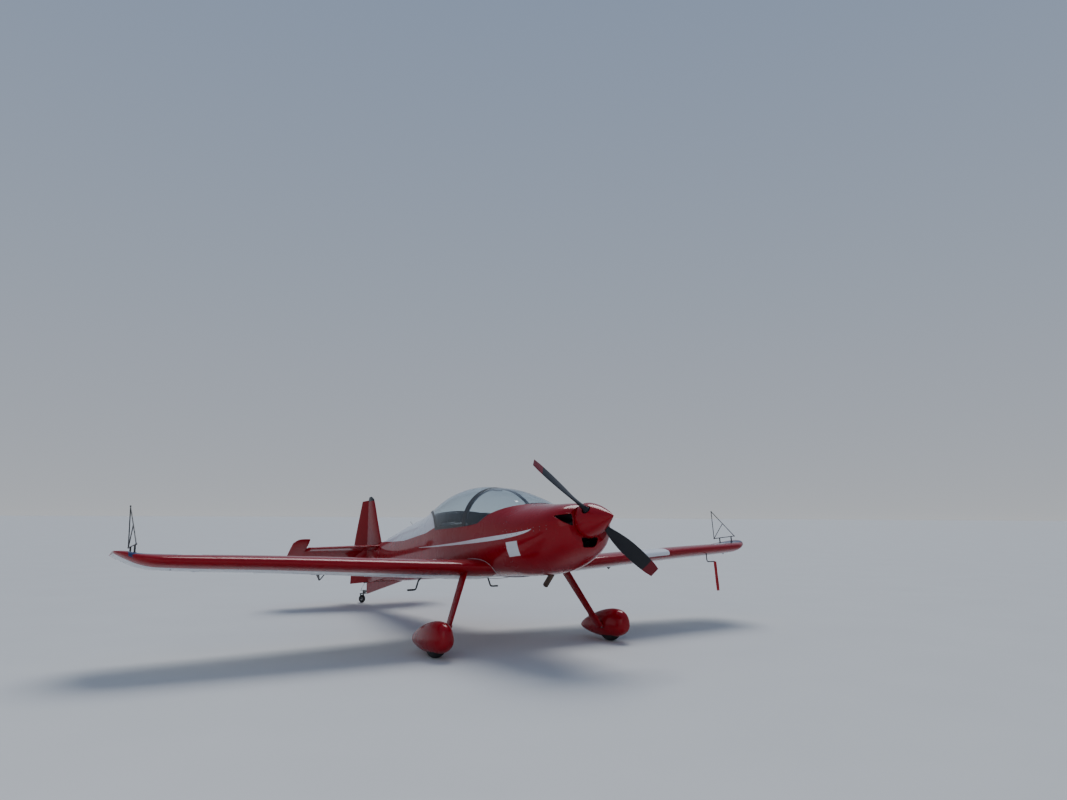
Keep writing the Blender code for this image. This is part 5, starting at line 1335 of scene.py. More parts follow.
for side, sign in SIDES:
    leg = loft("gear_leg_spring", [leg_ring(t / 12, sign, 0.0) for t in range(13)])
    leg = carve(leg, ("DIFFERENCE", wing_solid(sign, FIT)))
    show("gear_leg_spring_" + side, leg, "airframe", red_paint, ["gear_leg_" + side])
    first, last = PANT_SHARES
    shares = [0.5 * (1 - math.cos(math.pi * (first + (last - first) * i / PANT_STEPS)))
              for i in range(PANT_STEPS + 1)]
    axle_hole = [(AXLE[0], sign * y, AXLE[1]) for y in (AXLE_Y[0] - 0.02, AXLE_Y[1] + FIT)]
    spat = carve(loft("spat", [spat_ring(s, sign) for s in shares]),
                 ("UNION", loft("cuff", [leg_ring(t, sign, LEG_CUFF) for t in CUFF_STATIONS])),
                 ("DIFFERENCE", wheel_well(sign)),
                 ("DIFFERENCE", loft("slot", [leg_ring(t, sign, SEAM) for t in (0.5, 1.02)])),
                 ("DIFFERENCE", bar("axle", *axle_hole, AXLE_RADIUS + SEAM)))
    show("spat_" + side, spat, "airframe", red_paint, ["wheel_pant_" + side])
    stub_ends = [(AXLE[0], sign * y, AXLE[1]) for y in AXLE_Y]
    add_fitting("axle_" + side, [bar("axle", *stub_ends, AXLE_RADIUS)], steel)


# %% Tyres and hubs turned round their axles
SAME_POINT = 0.00001
TREAD_STEPS = 40
TREAD_SHARE = 0.86
CROWN_DROP = 0.16
CROWN_POWER = 3.2
GROOVE_HALF = 0.035
GROOVE_DEPTH = 0.0035
# The tyre's wall: how far down it a point lies, and how far out, each as a share.
WALL = ((0.30, 0.97), (0.50, 1.0), (0.75, 0.93))
# The bead: a height above the rim, and a share of the tyre's half width.
BEAD = ((0.004, 0.78), (0.0, 0.70))


def turned(name, profile, centre, axis, steps=96):
    """A closed profile of radius and offset, turned round an axis in the parked frame."""
    centre, axis = Vector(centre), Vector(axis).normalized()
    side_way = axis.orthogonal().normalized()
    other_way = axis.cross(side_way)
    ways = [side_way * c + other_way * s for c, s in round_steps(steps)]
    shape = bmesh.new()
    rows = []
    for radius, offset in profile:
        rows.append([shape.verts.new(centre + axis * offset + way * radius) for way in ways])
    for low, high in zip(rows, rows[1:] + rows[:1]):
        bridge(shape, low, high)
    bmesh.ops.remove_doubles(shape, verts=shape.verts, dist=SAME_POINT)
    return mesh_of(shape, name)


def tyre_profile(radius, half, rim, grooves):
    """A crowned tread with grooves cut round it, rounded shoulders and a bead at the rim."""
    depth = radius - rim
    outline = []
    for i in range(TREAD_STEPS + 1):
        t = -1 + 2 * i / TREAD_STEPS
        crown = radius - CROWN_DROP * depth * abs(t) ** CROWN_POWER
        grooved = any(abs(t - groove) < GROOVE_HALF for groove in grooves)
        outline.append((crown - (GROOVE_DEPTH if grooved else 0.0), TREAD_SHARE * half * t))
    wall = [(radius - down * depth, half * out) for down, out in WALL]
    wall += [(rim + rise, half * out) for rise, out in BEAD]
    return [(r, -y) for r, y in reversed(wall)] + outline + wall


TYRE_RADIUS = 0.1748
TYRE_HALF = 0.065
TYRE_GROOVES = (-0.50, 0.0, 0.50)
RIM_RADIUS = 0.070
HUB_EDGE = RIM_RADIUS - SEAM
# Half of a hub's outline, from its edge in to its bore: a radius and a share of its half width.
HUB = ((HUB_EDGE, 0.74), (HUB_EDGE - 0.006, 0.76), (HUB_EDGE - 0.012, 0.74), (HUB_EDGE - 0.016, 0.35),
       (0.040, 0.33), (0.034, 0.50), (0.032, 1.0), (0.0206, 1.0))
tyre_outline = tyre_profile(TYRE_RADIUS, TYRE_HALF, RIM_RADIUS, TYRE_GROOVES)
hub_outline = [(r, -share * TYRE_HALF) for r, share in HUB]
hub_outline += [(r, -y) for r, y in reversed(hub_outline)]
for side, sign in SIDES:
    centre = JOINTS["main_wheel_%s_spin" % side]["pos_m"]
    body = "main_wheel_" + side
    show("tread_tyre_" + side, turned("tyre", tyre_outline, centre, (0, 1, 0)), body, rubber,
         ["tyre_" + side], TURNED_CREASE, level=False)
    show("alloy_hub_" + side, turned("hub", hub_outline, centre, (0, 1, 0), 64), body, alloy,
         ["wheel_hub_" + side], level=False)

# %% Tail wheel
TAIL_RADIUS = 0.0648
TAIL_HALF = 0.021
TAIL_RIM = 0.028
TAIL_GROOVES = (-0.45, 0.45)
TAIL_HUB = ((0.0274, -0.014), (0.0076, -0.0175), (0.0076, 0.0175), (0.0274, 0.014))
tail_spin = JOINTS["tail_wheel_spin"]
profile = tyre_profile(TAIL_RADIUS, TAIL_HALF, TAIL_RIM, TAIL_GROOVES)
tyre = turned("tail_tyre", profile, tail_spin["pos_m"], tail_spin["axis"], 64)
show("tail_tyre", tyre, "tail_wheel", rubber, ["tail_wheel"], TURNED_CREASE, level=False)
hub = turned("tail_hub", TAIL_HUB, tail_spin["pos_m"], tail_spin["axis"], 48)
show("tail_hub", hub, "tail_wheel", alloy, level=False)

# %% [markdown]
# ## Small tubes
# The boarding steps, the pitot tube and the aerial are bent tubes, so the tube tree makes them from
# short lists of points. The sight frames on the wing tips are straight rods, and the exhaust is a straight
# pipe.

# %% Sight frames on the wing tips
SIGHT_APEX = Vector((-0.951, 4.020, 1.687))
SIGHT_AFT = Vector((-0.949, 4.016, 1.274))
SIGHT_FORE = Vector((-0.505, 3.990, 1.270))
SIGHT_ROD = 0.0055
SIGHT_STRUT = SIGHT_ROD * 0.9
SIGHT_BALL = SIGHT_ROD * 1.7
SIGHT_POST = 0.009
SIGHT_FOOT = SIGHT_POST * 2
FOOT_HALF = 0.004
POST_SHARES = (0.16, 0.72)
sight_middle = (SIGHT_APEX + SIGHT_FORE) / 2


def on_side(place, sign):
    """A place of the left side, or its mirror place on the right."""
    return Vector((place.x, sign * place.y, place.z))


for side, sign in SIDES:
    corners = [on_side(place, sign) for place in (SIGHT_AFT, SIGHT_APEX, SIGHT_FORE)]
    parts = []
    for here, there in zip(corners, corners[1:] + corners[:1]):
        parts.append(bar("rod", here, there, SIGHT_ROD, 20))
    parts.append(bar("strut", corners[0], on_side(sight_middle, sign), SIGHT_STRUT, 20))
    for share in POST_SHARES:
        top = on_side(SIGHT_FORE + (SIGHT_AFT - SIGHT_FORE) * share, sign)
        nose, chord, height, thickness = read_rows(WING, abs(top.y))
        skin_z = height + section_half((nose - top.x) / chord) * thickness
        foot_low, foot_high = [(top.x, top.y, skin_z + rise) for rise in (-FOOT_HALF, FOOT_HALF)]
        parts.append(bar("post", foot_low, top, SIGHT_POST, 20))
        parts.append(bar("foot", foot_low, foot_high, SIGHT_FOOT, 24))
    for corner in corners:
        ball = bmesh.new()
        bmesh.ops.create_uvsphere(ball, u_segments=20, v_segments=12, radius=SIGHT_BALL,
                                  matrix=Matrix.Translation(corner))
        parts.append(mesh_of(ball, "ball"))
    show("sight_rods_" + side, fuse("sight_rods", parts), "airframe", satin_black,
         ["sight_frame_" + side], TUBE_CREASE)

# %% Boarding steps, pitot tube and aerial
STEP = ((-1.805, 0.400, 0.953), (-1.812, 0.455, 0.930), (-1.820, 0.520, 0.860), (-1.825, 0.555, 0.758),
        (-1.828, 0.572, 0.751), (-1.830, 0.672, 0.750))
STEP_RADIUS = 0.011
TREAD_Y = (0.590, 0.668)
TREAD_RADIUS = 0.0125
PITOT_Y = 3.150
PITOT_RADIUS = 0.007
PITOT = ((-0.268, 1.040), (-0.268, 0.925), (-0.262, 0.908), (-0.245, 0.900), (-0.120, 0.892))
AERIAL_Y = 0.030
AERIAL = ((-3.215, 1.705), (-3.235, 1.755), (-3.305, 1.800))
AERIAL_RADIUS = 0.003
AERIAL_BASE = ((-3.210, AERIAL_Y, 1.690), (-3.217, AERIAL_Y, 1.716))
AERIAL_BASE_RADIUS = 0.012
for side, sign in SIDES:
    path = [(x, sign * y, z) for x, y, z in STEP]
    step_tube = tube("step", path, STEP_RADIUS, satin_black, 0.03)
    step_x, _, step_z = STEP[-1]
    tread_ends = [(step_x, y, step_z) for y in sorted(sign * reach for reach in TREAD_Y)]
    tread = bar("tread", *tread_ends, TREAD_RADIUS)
    show("boarding_step_tube_" + side, fuse("step", [step_tube, tread]), "airframe", satin_black,
         ["boarding_step_" + side], TUBE_CREASE)
pitot = tube("pitot", [(x, PITOT_Y, z) for x, z in PITOT], PITOT_RADIUS, satin_black, 0.012)
show("pitot_probe", pitot, "airframe", satin_black, ["pitot_tube"], TUBE_CREASE)
aerial = tube("aerial", [(x, AERIAL_Y, z) for x, z in AERIAL], AERIAL_RADIUS, satin_black, 0.03, 12)
base = bar("base", *AERIAL_BASE, AERIAL_BASE_RADIUS, 20)
show("whip_aerial", fuse("aerial", [aerial, base]), "airframe", satin_black, ["antenna"],
     TUBE_CREASE)

# %% Exhaust stub with an open end
EXHAUST_TOP = Vector((0.428, 0.100, 0.800))
EXHAUST_END = Vector((0.275, 0.100, 0.682))
EXHAUST_RADIUS = 0.031
EXHAUST_WALL = 0.004
EXHAUST_SHIFT = 0.2
BELLY_REACH = (-0.15, 0.9)
outlet = EXHAUST_END - EXHAUST_TOP
bore_ends = [EXHAUST_TOP + outlet * EXHAUST_SHIFT, EXHAUST_END + outlet * EXHAUST_SHIFT]
pipe = carve(bar("exhaust_stub", EXHAUST_TOP, EXHAUST_END, EXHAUST_RADIUS, 48),
             ("DIFFERENCE", bar("bore", *bore_ends, EXHAUST_RADIUS - EXHAUST_WALL, 48)),
             ("DIFFERENCE", body_solid("skin", *BELLY_REACH, SEAM)))
show("exhaust_stub", pipe, "airframe", exhaust_metal, ["exhaust_pipe"])

# %% [markdown]
# ## Fasteners along seams
# Screws hold the cowl to the cabin and clamp its halves together. A second tree walks along a
# path, drops a small domed head every few centimetres, and turns each head to face outwards
# with a direction that is stored on the path's points.


# %% Fastener tree
def build_fastener_tree():
    tree, source, sink = new_tree("heads_along_path", [
        ("Spacing", "NodeSocketFloat", 0.05), ("Head Radius", "NodeSocketFloat", 0.004),
        ("Head Height", "NodeSocketFloat", 0.0012), ("Finish", "NodeSocketMaterial", None)])
    path = add_node(tree, "GeometryNodeMeshToCurve", [("Mesh", source.outputs["Geometry"])])
    points = add_node(tree, "GeometryNodeCurveToPoints", [
        ("Curve", path.outputs[0]), ("Length", source.outputs["Spacing"])], mode="LENGTH")
    outward = add_node(tree, "GeometryNodeInputNamedAttribute", [("Name", "outward")],
                       data_type="FLOAT_VECTOR")
    facing = add_node(tree, "FunctionNodeAlignRotationToVector", [("Vector", outward.outputs[0])], axis="Z")
    head = add_node(tree, "GeometryNodeMeshUVSphere", [("Segments", 10), ("Rings", 5), ("Radius", 1.0)])
    size = add_node(tree, "ShaderNodeCombineXYZ", [
        ("X", source.outputs["Head Radius"]), ("Y", source.outputs["Head Radius"]),
        ("Z", source.outputs["Head Height"])])
    heads = add_node(tree, "GeometryNodeInstanceOnPoints", [
        ("Points", points.outputs[0]), ("Instance", head.outputs[0]),
        ("Rotation", facing.outputs[0]), ("Scale", size.outputs[0])])
    real = add_node(tree, "GeometryNodeRealizeInstances", [("Geometry", heads.outputs[0])])
    dress = add_node(tree, "GeometryNodeSetMaterial", [
        ("Geometry", real.outputs[0]), ("Material", source.outputs["Finish"])])
    tree.links.new(dress.outputs[0], sink.inputs[0])
    return tree


fastener_tree = build_fastener_tree()


def heads(name, points, ways, spacing, radius, height, finish, closed=False):
    """Domed heads along a path, each facing the way that is given for its point."""
    mesh = path_mesh(points, closed)
    stored = mesh.attributes.new("outward", "FLOAT_VECTOR", "POINT")
    for slot_value, way in zip(stored.data, ways):
        slot_value.vector = tuple(way)
    return run_tree(name, mesh, fastener_tree, {
        "Spacing": spacing, "Head Radius": radius, "Head Height": height, "Finish": finish})


# %% Screws round the cowl's rear edge and along its split
COWL_SCREWS = (0.085, 0.0048, 0.0016)
SEAM_OFFSETS = (0.022, -0.022)
SPLIT_OFFSETS = (-0.018, 0.018)
SPLIT_REACH = (COWL_REAR_X + 0.05, 1.12)
SCREW_LINE_PITCH = 0.05
SCREEN_FOOT_Z = 1.53
SEAM_MIDDLE_Z = 1.2


def outward_of(ring, middle):
    """A way out of the body at each point of a ring."""
    return [Vector((0.0, y, z - middle)).normalized() for _, y, z in ring]


screw_meshes = []
for offset in SEAM_OFFSETS:
    ring = [p for p in body_ring(COWL_REAR_X + offset) if p[2] < SCREEN_FOOT_Z]
    ring = sorted(ring, key=lambda p: math.atan2(p[1], p[2] - SEAM_MIDDLE_Z) % (2 * math.pi))
    screw_meshes.append(heads("seam", ring, outward_of(ring, COWL_SPLIT_Z), *COWL_SCREWS, steel))
for side, sign in SIDES:
    for offset in SPLIT_OFFSETS:
        z = COWL_SPLIT_Z + offset
        line = [(x, sign * skin_y(x, z), z) for x in stations(*SPLIT_REACH, SCREW_LINE_PITCH)]
        ways = [Vector((0.15, sign, 0.0)).normalized()] * len(line)
        screw_meshes.append(heads("split", line, ways, *COWL_SCREWS, steel))
add_fitting("cowl_screws", screw_meshes, steel, HEAD_CREASE)

# %% Screws round the canopy rim
RIM_SCREWS = (0.09, 0.0036, 0.0014)
RIM_SCREW_RISE = 0.017
RIM_SCREW_REACH = (-1.30, hood_front - 0.03)
rim_heads = []
for side, sign in SIDES:
    line = []
    for x in stations(*RIM_SCREW_REACH, SCREW_LINE_PITCH):
        z = read_rows(SILL, x)[0] + RIM_SCREW_RISE
        line.append((x, sign * skin_y(x, z), z))
    ways = [Vector((0.0, sign, 0.25)).normalized()] * len(line)
    rim_heads.append(heads("rim", line, ways, *RIM_SCREWS, steel))
add_fitting("canopy_screws", rim_heads, steel, HEAD_CREASE, "canopy")

# %% Rivet rows on the wings' skins
RIVETS = (0.045, 0.0030, 0.0006)
RIVET_SHARES = (0.17, 0.32, 0.62)
RIB_REACH = (0.17, 0.62)
RIB_PITCH = 0.041
ROW_PITCH = 0.12
RIB_PLACES = (0.80, 1.30, 1.90, 2.50, 3.10, 3.72)
SLOPE_STEP = 0.02


def wing_spot(y, share, top):
    """How far forward and how high the wing's skin lies at y."""
    nose, chord, height, thickness = read_rows(WING, y)
    lift = section_half(share) * thickness
    return nose - share * chord, height + (lift if top else -lift)


def wing_skin_line(sign, share, top, y_low, y_high):
    """A line of points along the span, and the way out of the skin at each."""
    line, ways = [], []
    for y in stations(y_low, y_high, ROW_PITCH):
        _, chord, _, thickness = read_rows(WING, y)
        x, z = wing_spot(y, share, top)
        line.append((x, sign * y, z))
        rise = (section_half(share + SLOPE_STEP) - section_half(share - SLOPE_STEP)) * thickness
        ways.append(Vector((rise / (2 * SLOPE_STEP * chord), 0.0, 1.0 if top else -1.0)).normalized())
    return line, ways


sealant = plain_look("pale_sealant", (0.60, 0.62, 0.64, 1.0), 0.45, 300.0, 0.05)
for top, look, label in ((True, wing_top_paint, "upper"), (False, white_paint, "lower")):
    rows = []
    for side, sign in SIDES:
        for share in RIVET_SHARES:
            line, ways = wing_skin_line(sign, share, top, RIB_PLACES[0], RIB_PLACES[-1])
            rows.append(heads("row", line, ways, *RIVETS, look))
        for y in RIB_PLACES:
            spots = [wing_spot(y, share, top) for share in stations(*RIB_REACH, RIB_PITCH)]
            ways = [Vector((0.0, 0.0, 1.0 if top else -1.0))] * len(spots)
            rows.append(heads("rib", [(x, sign * y, z) for x, z in spots], ways, *RIVETS, look))
    add_fitting("wing_rivets_" + label, rows, look, HEAD_CREASE)

# %% Fuel caps, inspection covers and the seal round each wing's root
CAP_PLACE = (0.950, 0.240)
CAP_RADIUS = 0.036
CAP = ((0.0, -0.004), (CAP_RADIUS, -0.004), (CAP_RADIUS, 0.0016), (CAP_RADIUS - 0.002, 0.0024),
       (CAP_RADIUS - 0.004, 0.0010), (0.012, 0.0022), (0.010, 0.0034), (0.0, 0.0036))
TAB_HALF = 0.018
TAB_RADIUS = 0.0028
TAB_RISE = 0.004
COVER_Y = (1.000, 1.600, 2.200, 2.800, 3.400)
COVER_SHARE = 0.45
COVER_RADIUS = 0.058
COVER_FACE = 0.0013
COVER = ((0.0, -0.003), (COVER_RADIUS, -0.003), (COVER_RADIUS, 0.0007),
         (COVER_RADIUS - 0.001, COVER_FACE), (0.0, COVER_FACE))
COVER_SCREWS = (0.051, 0.0030, 0.0012)
COVER_SCREW_REACH = COVER_RADIUS - 0.009
SEAL_RADIUS = 0.0035
SEAL_STEPS = 30


def skin_place(sign, y, share, top):
    """A point of the wing's skin and the way out of it."""
    line, ways = wing_skin_line(sign, share, top, y, y + 0.01)
    return Vector(line[0]), ways[0]


def root_place(share, top):
    """Where the wing's skin meets the body, found by stepping to and fro between them."""
    y = 0.5
    for _ in range(30):
        x, z = wing_spot(y, share, top)
        y = 0.5 * (y + skin_y(x, z))
    return Vector((x, y, z))


tab_half = Vector((TAB_HALF, 0.0, 0.0))
across = Vector((0.0, 1.0, 0.0))
seal_shares = [0.5 * (1 - math.cos(math.pi * k / SEAL_STEPS)) for k in range(1, SEAL_STEPS)]
seal_edge = [root_place(share, True) for share in reversed(seal_shares)]
seal_edge += [root_place(share, False) for share in seal_shares]
for side, sign in SIDES:
    spot, way = skin_place(sign, *CAP_PLACE, True)
    tab_middle = spot + way * TAB_RISE
    tab = bar("tab", tab_middle - tab_half, tab_middle + tab_half, TAB_RADIUS, 12)
    add_fitting("fuel_cap_" + side, [turned("cap", CAP, spot, way, 48), tab], alloy)
    covers, screws = [], []
    for y in COVER_Y:
        spot, way = skin_place(sign, y, COVER_SHARE, False)
        covers.append(turned("cover", COVER, spot, way, 48))
        ahead = across.cross(way).normalized()
        middle = spot + way * COVER_FACE
        circle = [middle + (across * c + ahead * s) * COVER_SCREW_REACH for c, s in round_steps(24)]
        screws.append(heads("cover_screws", circle, [way] * 24, *COVER_SCREWS, steel, closed=True))
    add_fitting("inspection_covers_" + side, covers, white_paint)
    add_fitting("cover_screws_" + side, screws, steel, HEAD_CREASE)
    seal = tube("root_seal", [on_side(place, sign) for place in seal_edge], SEAL_RADIUS, sealant, 0.0, 10)
    add_fitting("root_seal_" + side, [seal], sealant, HEAD_CREASE)

# %% [markdown]
# ## Propeller and spinner
# A blade is a twisted loft: near the hub its section is thick and steep, and towards the tip it
# is thin and nearly flat. The table gives chord, thickness and pitch along the radius. The
# spinner is a turned shell with two round holes for the blades.

# %% Blades
PROP_RADIUS = 0.900
PROP_X = 1.450
BLADE_TIP_SIDE = -0.787
HUB_RADIUS = 0.075
CUFF_RADIUS = 0.034
CUFF_END = 0.155
BLADE = ((0.215, 0.080, 0.050, 58.0), (0.320, 0.120, 0.034, 52.0), (0.480, 0.155, 0.022, 45.0),
         (0.700, 0.160, 0.015, 39.0), (0.900, 0.138, 0.010, 35.0), (1.000, 0.108, 0.006, 33.0))
BLADE_POINTS = 40
BLADE_TAPER = 0.45
BLADE_PITCH = 0.02
prop_centre = Vector((PROP_X, 0.0, THRUST_Z))


def blade_ring(reach, edge, face, half_chord, half_thickness, sharp):
    """An ellipse near the hub, which sharpens towards its trailing edge further out."""
    ring = []
    for c, s in round_steps(BLADE_POINTS):
        thin = 1.0 - sharp * BLADE_TAPER * (1 - c) / 2
        ring.append(prop_centre + reach + edge * (half_chord * c) + face * (half_thickness * s * thin))
    return ring


def blade(direction):
    along = Vector((0.0, BLADE_TIP_SIDE * direction, math.sqrt(1 - BLADE_TIP_SIDE ** 2) * direction))
    nose_way = Vector((1.0, 0.0, 0.0))
    sweep = nose_way.cross(along)
    rings = [blade_ring(along * reach, sweep, nose_way, CUFF_RADIUS, CUFF_RADIUS, 0.0)
             for reach in stations(HUB_RADIUS + FIT, CUFF_END, BLADE_PITCH)]
    for share in stations(BLADE[0][0], BLADE[-1][0], BLADE_PITCH):
        chord, thickness, pitch = read_rows(BLADE, share)
        turn = math.radians(pitch)
        edge = sweep * math.cos(turn) + nose_way * math.sin(turn)
        face = nose_way * math.cos(turn) - sweep * math.sin(turn)
        sharp = min((share - BLADE[0][0]) / 0.2, 1.0)
        rings.append(blade_ring(along * (share * PROP_RADIUS), edge, face, chord / 2, thickness / 2, sharp))
    return loft("blade", rings)


for number, direction in (("1", 1.0), ("2", -1.0)):
    show("prop_blade_" + number, blade(direction), "propeller", blade_black, ["blade_" + number],
         TURNED_CREASE)

# %% Spinner and hub
SPINNER_BACK_X = 1.330
SPINNER_TIP_X = 1.747
SPINNER_RADIUS = 0.182
SPINNER_WALL = 0.005
SPINNER_POINT = 1.5
SPINNER_HOLE = 0.046
HOLE_REACH = (0.10, 0.30)
SPINNER_SCREWS = (0.09, 0.004, 0.0014)
SCREW_RING_X = SPINNER_BACK_X + 0.016
SCREW_RING_RADIUS = SPINNER_RADIUS - 0.0006


def spinner_profile(inset, count=40):
    """The spinner's outline from its back to its tip, set in by the wall's thickness or not."""
    length = SPINNER_TIP_X - SPINNER_BACK_X
    outline = []
    for i in range(count + 1):
        s = 1 - (1 - i / count) ** 1.4
        radius = max(SPINNER_RADIUS * (1 - s ** SPINNER_POINT) - inset, 0.0)
        outline.append((radius, SPINNER_BACK_X + s * (length - inset)))
    return outline


profile = spinner_profile(0.0) + spinner_profile(SPINNER_WALL)[::-1]
cone = turned("spinner_shell", profile, (0.0, 0.0, THRUST_Z), (1, 0, 0), 96)
along = Vector((0.0, BLADE_TIP_SIDE, math.sqrt(1 - BLADE_TIP_SIDE ** 2)))
holes = []
for way in (1, -1):
    hole_ends = [prop_centre + along * (reach * way) for reach in HOLE_REACH]
    holes.append(("DIFFERENCE", bar("hole", *hole_ends, SPINNER_HOLE)))
cone = carve(cone, *holes)
show("spinner_shell", cone, "propeller", red_paint, ["spinner"])
ring = [(SCREW_RING_X, SCREW_RING_RADIUS * c, THRUST_Z + SCREW_RING_RADIUS * s) for c, s in round_steps(96)]
screws = heads("spinner_screws", ring, outward_of(ring, THRUST_Z), *SPINNER_SCREWS, steel, closed=True)
add_fitting("spinner_screws", [screws], steel, HEAD_CREASE, "propeller")

# %% [markdown]
# ## Cabin
# Through the glass the cabin shows as dark shapes: two seats with harnesses, the glare shield
# and panel, and a stick for each seat. The seats are padded pieces, crowned between their sewn
# channels. The panel gets round dials with pale marks.

# %% Padded seats
SEAT_Y = 0.232
SEAT_HALF_WIDTH = 0.192
PAD_COLUMNS = 28
PAD_ROWS = 32
HEAD_HALF_WIDTH = 0.084
# A pad's two ends in the side view, its thickness, the way it faces, its crown and its channels.
CUSHION = ((-0.955, 0.935), (-0.545, 0.960), 0.090, (-0.08, 0.0, 1.0), 0.018, 3)
SEAT_BACK = ((-1.085, 1.035), (-1.300, 1.545), 0.075, (0.90, 0.0, 0.42), 0.020, 4)
HEAD_REST = ((-1.325, 1.575), (-1.318, 1.690), 0.030, (1.0, 0.0, 0.05), 0.016, 1)


def pad(name, centre_y, half_width, low, high, thickness, out, crown, channels):
    """A cushion that is crowned between its sewn channels and thin at its border."""
    low, high = Vector((low[0], 0.0, low[1])), Vector((high[0], 0.0, high[1]))
    out = Vector(out).normalized()
    shape = bmesh.new()
    grids = []
    for face_side in (1.0, 0.0):
        grid = []
        for r in range(PAD_ROWS + 1):
            v = r / PAD_ROWS
            row = []
            for c in range(PAD_COLUMNS + 1):
                u = 2 * c / PAD_COLUMNS - 1
                edge = (1 - abs(u) ** 6) * (1 - abs(2 * v - 1) ** 8)
                sewn = 0.5 + 0.5 * abs(math.sin(math.pi * channels * v)) ** 0.35
                rise = (thickness + crown * (1 - u * u) * sewn) * edge ** 0.35 if face_side else 0.0
                pinch = 1.0 - 0.03 * abs(math.cos(math.pi * v)) ** 4
                place = low + (high - low) * v + out * rise
                row.append(shape.verts.new((place.x, centre_y + half_width * u * pinch, place.z)))
            grid.append(row)
        grids.append(grid)
    for grid in grids:
        quilt(shape, grid)
    border = [(0, c) for c in range(PAD_COLUMNS)] + [(r, PAD_COLUMNS) for r in range(PAD_ROWS)]
    border += [(PAD_ROWS, c) for c in range(PAD_COLUMNS, 0, -1)] + [(r, 0) for r in range(PAD_ROWS, 0, -1)]
    front_edge, back_edge = [[grid[r][c] for r, c in border] for grid in grids]
    bridge(shape, front_edge, back_edge)
    bmesh.ops.remove_doubles(shape, verts=shape.verts, dist=SAME_POINT)
    return mesh_of(shape, name)


for side, sign in SIDES:
    y = sign * SEAT_Y
    cushion = pad("cushion", y, SEAT_HALF_WIDTH, *CUSHION)
    piece = show("seat_cushion_pad_" + side, cushion, "airframe", leather, ["seat_" + side],
                 PAD_CREASE)
    back = pad("back", y, SEAT_HALF_WIDTH, *SEAT_BACK)
    piece = show("seat_back_pad_" + side, back, "airframe", leather, crease=PAD_CREASE)
    head = pad("head", y, HEAD_HALF_WIDTH, *HEAD_REST)
    piece = show("head_rest_pad_" + side, head, "airframe", leather, crease=PAD_CREASE)

# %% Seat shells and harness straps
SEAT_SHELL = ((-0.560, 0.9053), (-0.535, 0.932), (-0.960, 0.930), (-1.085, 1.030),
              (-1.307, 1.535), (-1.322, 1.535), (-1.130, 1.000), (-1.080, 0.9053))
SHELL_HALF_WIDTH = SEAT_HALF_WIDTH - 0.01
HEAD_PLATE_X = (-1.332, -1.320)
HEAD_PLATE = ((0.086, 1.500), (0.084, 1.694), (-0.084, 1.694), (-0.086, 1.500))
SHOULDER = ((0.182, 1.440), (0.182, 1.560), (-0.182, 1.560), (-0.182, 1.440))
STRAP_WIDTH = 0.044
STRAP_THICKNESS = 0.0022
STRAP_RISE = 0.004
SHOULDER_SPREAD = 0.075
SHOULDER_BELT = ((-1.236, 1.560), (-1.130, 1.300), (-0.995, 1.130), (-0.930, 1.080))
LAP_BELT = ((-0.965, 0.175, 1.055), (-0.900, 0.130, 1.082), (-0.850, 0.030, 1.088))
BUCKLE = ((-0.850, 1.084), (-0.852, 1.100))
BUCKLE_RADIUS = 0.026


def strap(name, points, across):
    """A flat ribbon along points, with its width across the given way."""
    across = Vector(across).normalized() * (STRAP_WIDTH / 2)
    rings = []
    for i, here in enumerate(points):
        here = Vector(here)
        ahead = Vector(points[min(i + 1, len(points) - 1)]) - Vector(points[max(i - 1, 0)])
        lift = ahead.cross(across).normalized() * (STRAP_THICKNESS / 2)
        rings.append([here + across + lift, here - across + lift, here - across - lift, here + across - lift])
    return loft(name, rings)


for side, sign in SIDES:
    y = sign * SEAT_Y
    plates = [prism("shell", SEAT_SHELL, y - SHELL_HALF_WIDTH, y + SHELL_HALF_WIDTH)]
    for outline, corner in ((HEAD_PLATE, 0.045), (SHOULDER, 0.030)):
        edge = [(y + a, b) for a, b in rounded(outline, corner)]
        plates.append(prism("plate", edge, *HEAD_PLATE_X, "x"))
    add_fitting("seat_shell_" + side, plates, trim_black)
    straps = []
    for offset in (-SHOULDER_SPREAD, SHOULDER_SPREAD):
        line = []
        for i, (x, z) in enumerate(SHOULDER_BELT):
            line.append((x, y + offset * (0.6 + 0.4 * i / 3), z + STRAP_RISE))
        straps.append(strap("shoulder", line, (0, 1, 0)))
    for offset in (-1, 1):
        line = [(x, y + offset * spread, z) for x, spread, z in LAP_BELT]
        straps.append(strap("lap", line, (1, 0, 0.05)))
    add_fitting("harness_" + side, straps, webbing, TUBE_CREASE)
    buckle = bar("buckle", *((x, y, z) for x, z in BUCKLE), BUCKLE_RADIUS, 28)
    add_fitting("harness_buckle_" + side, [buckle], alloy)

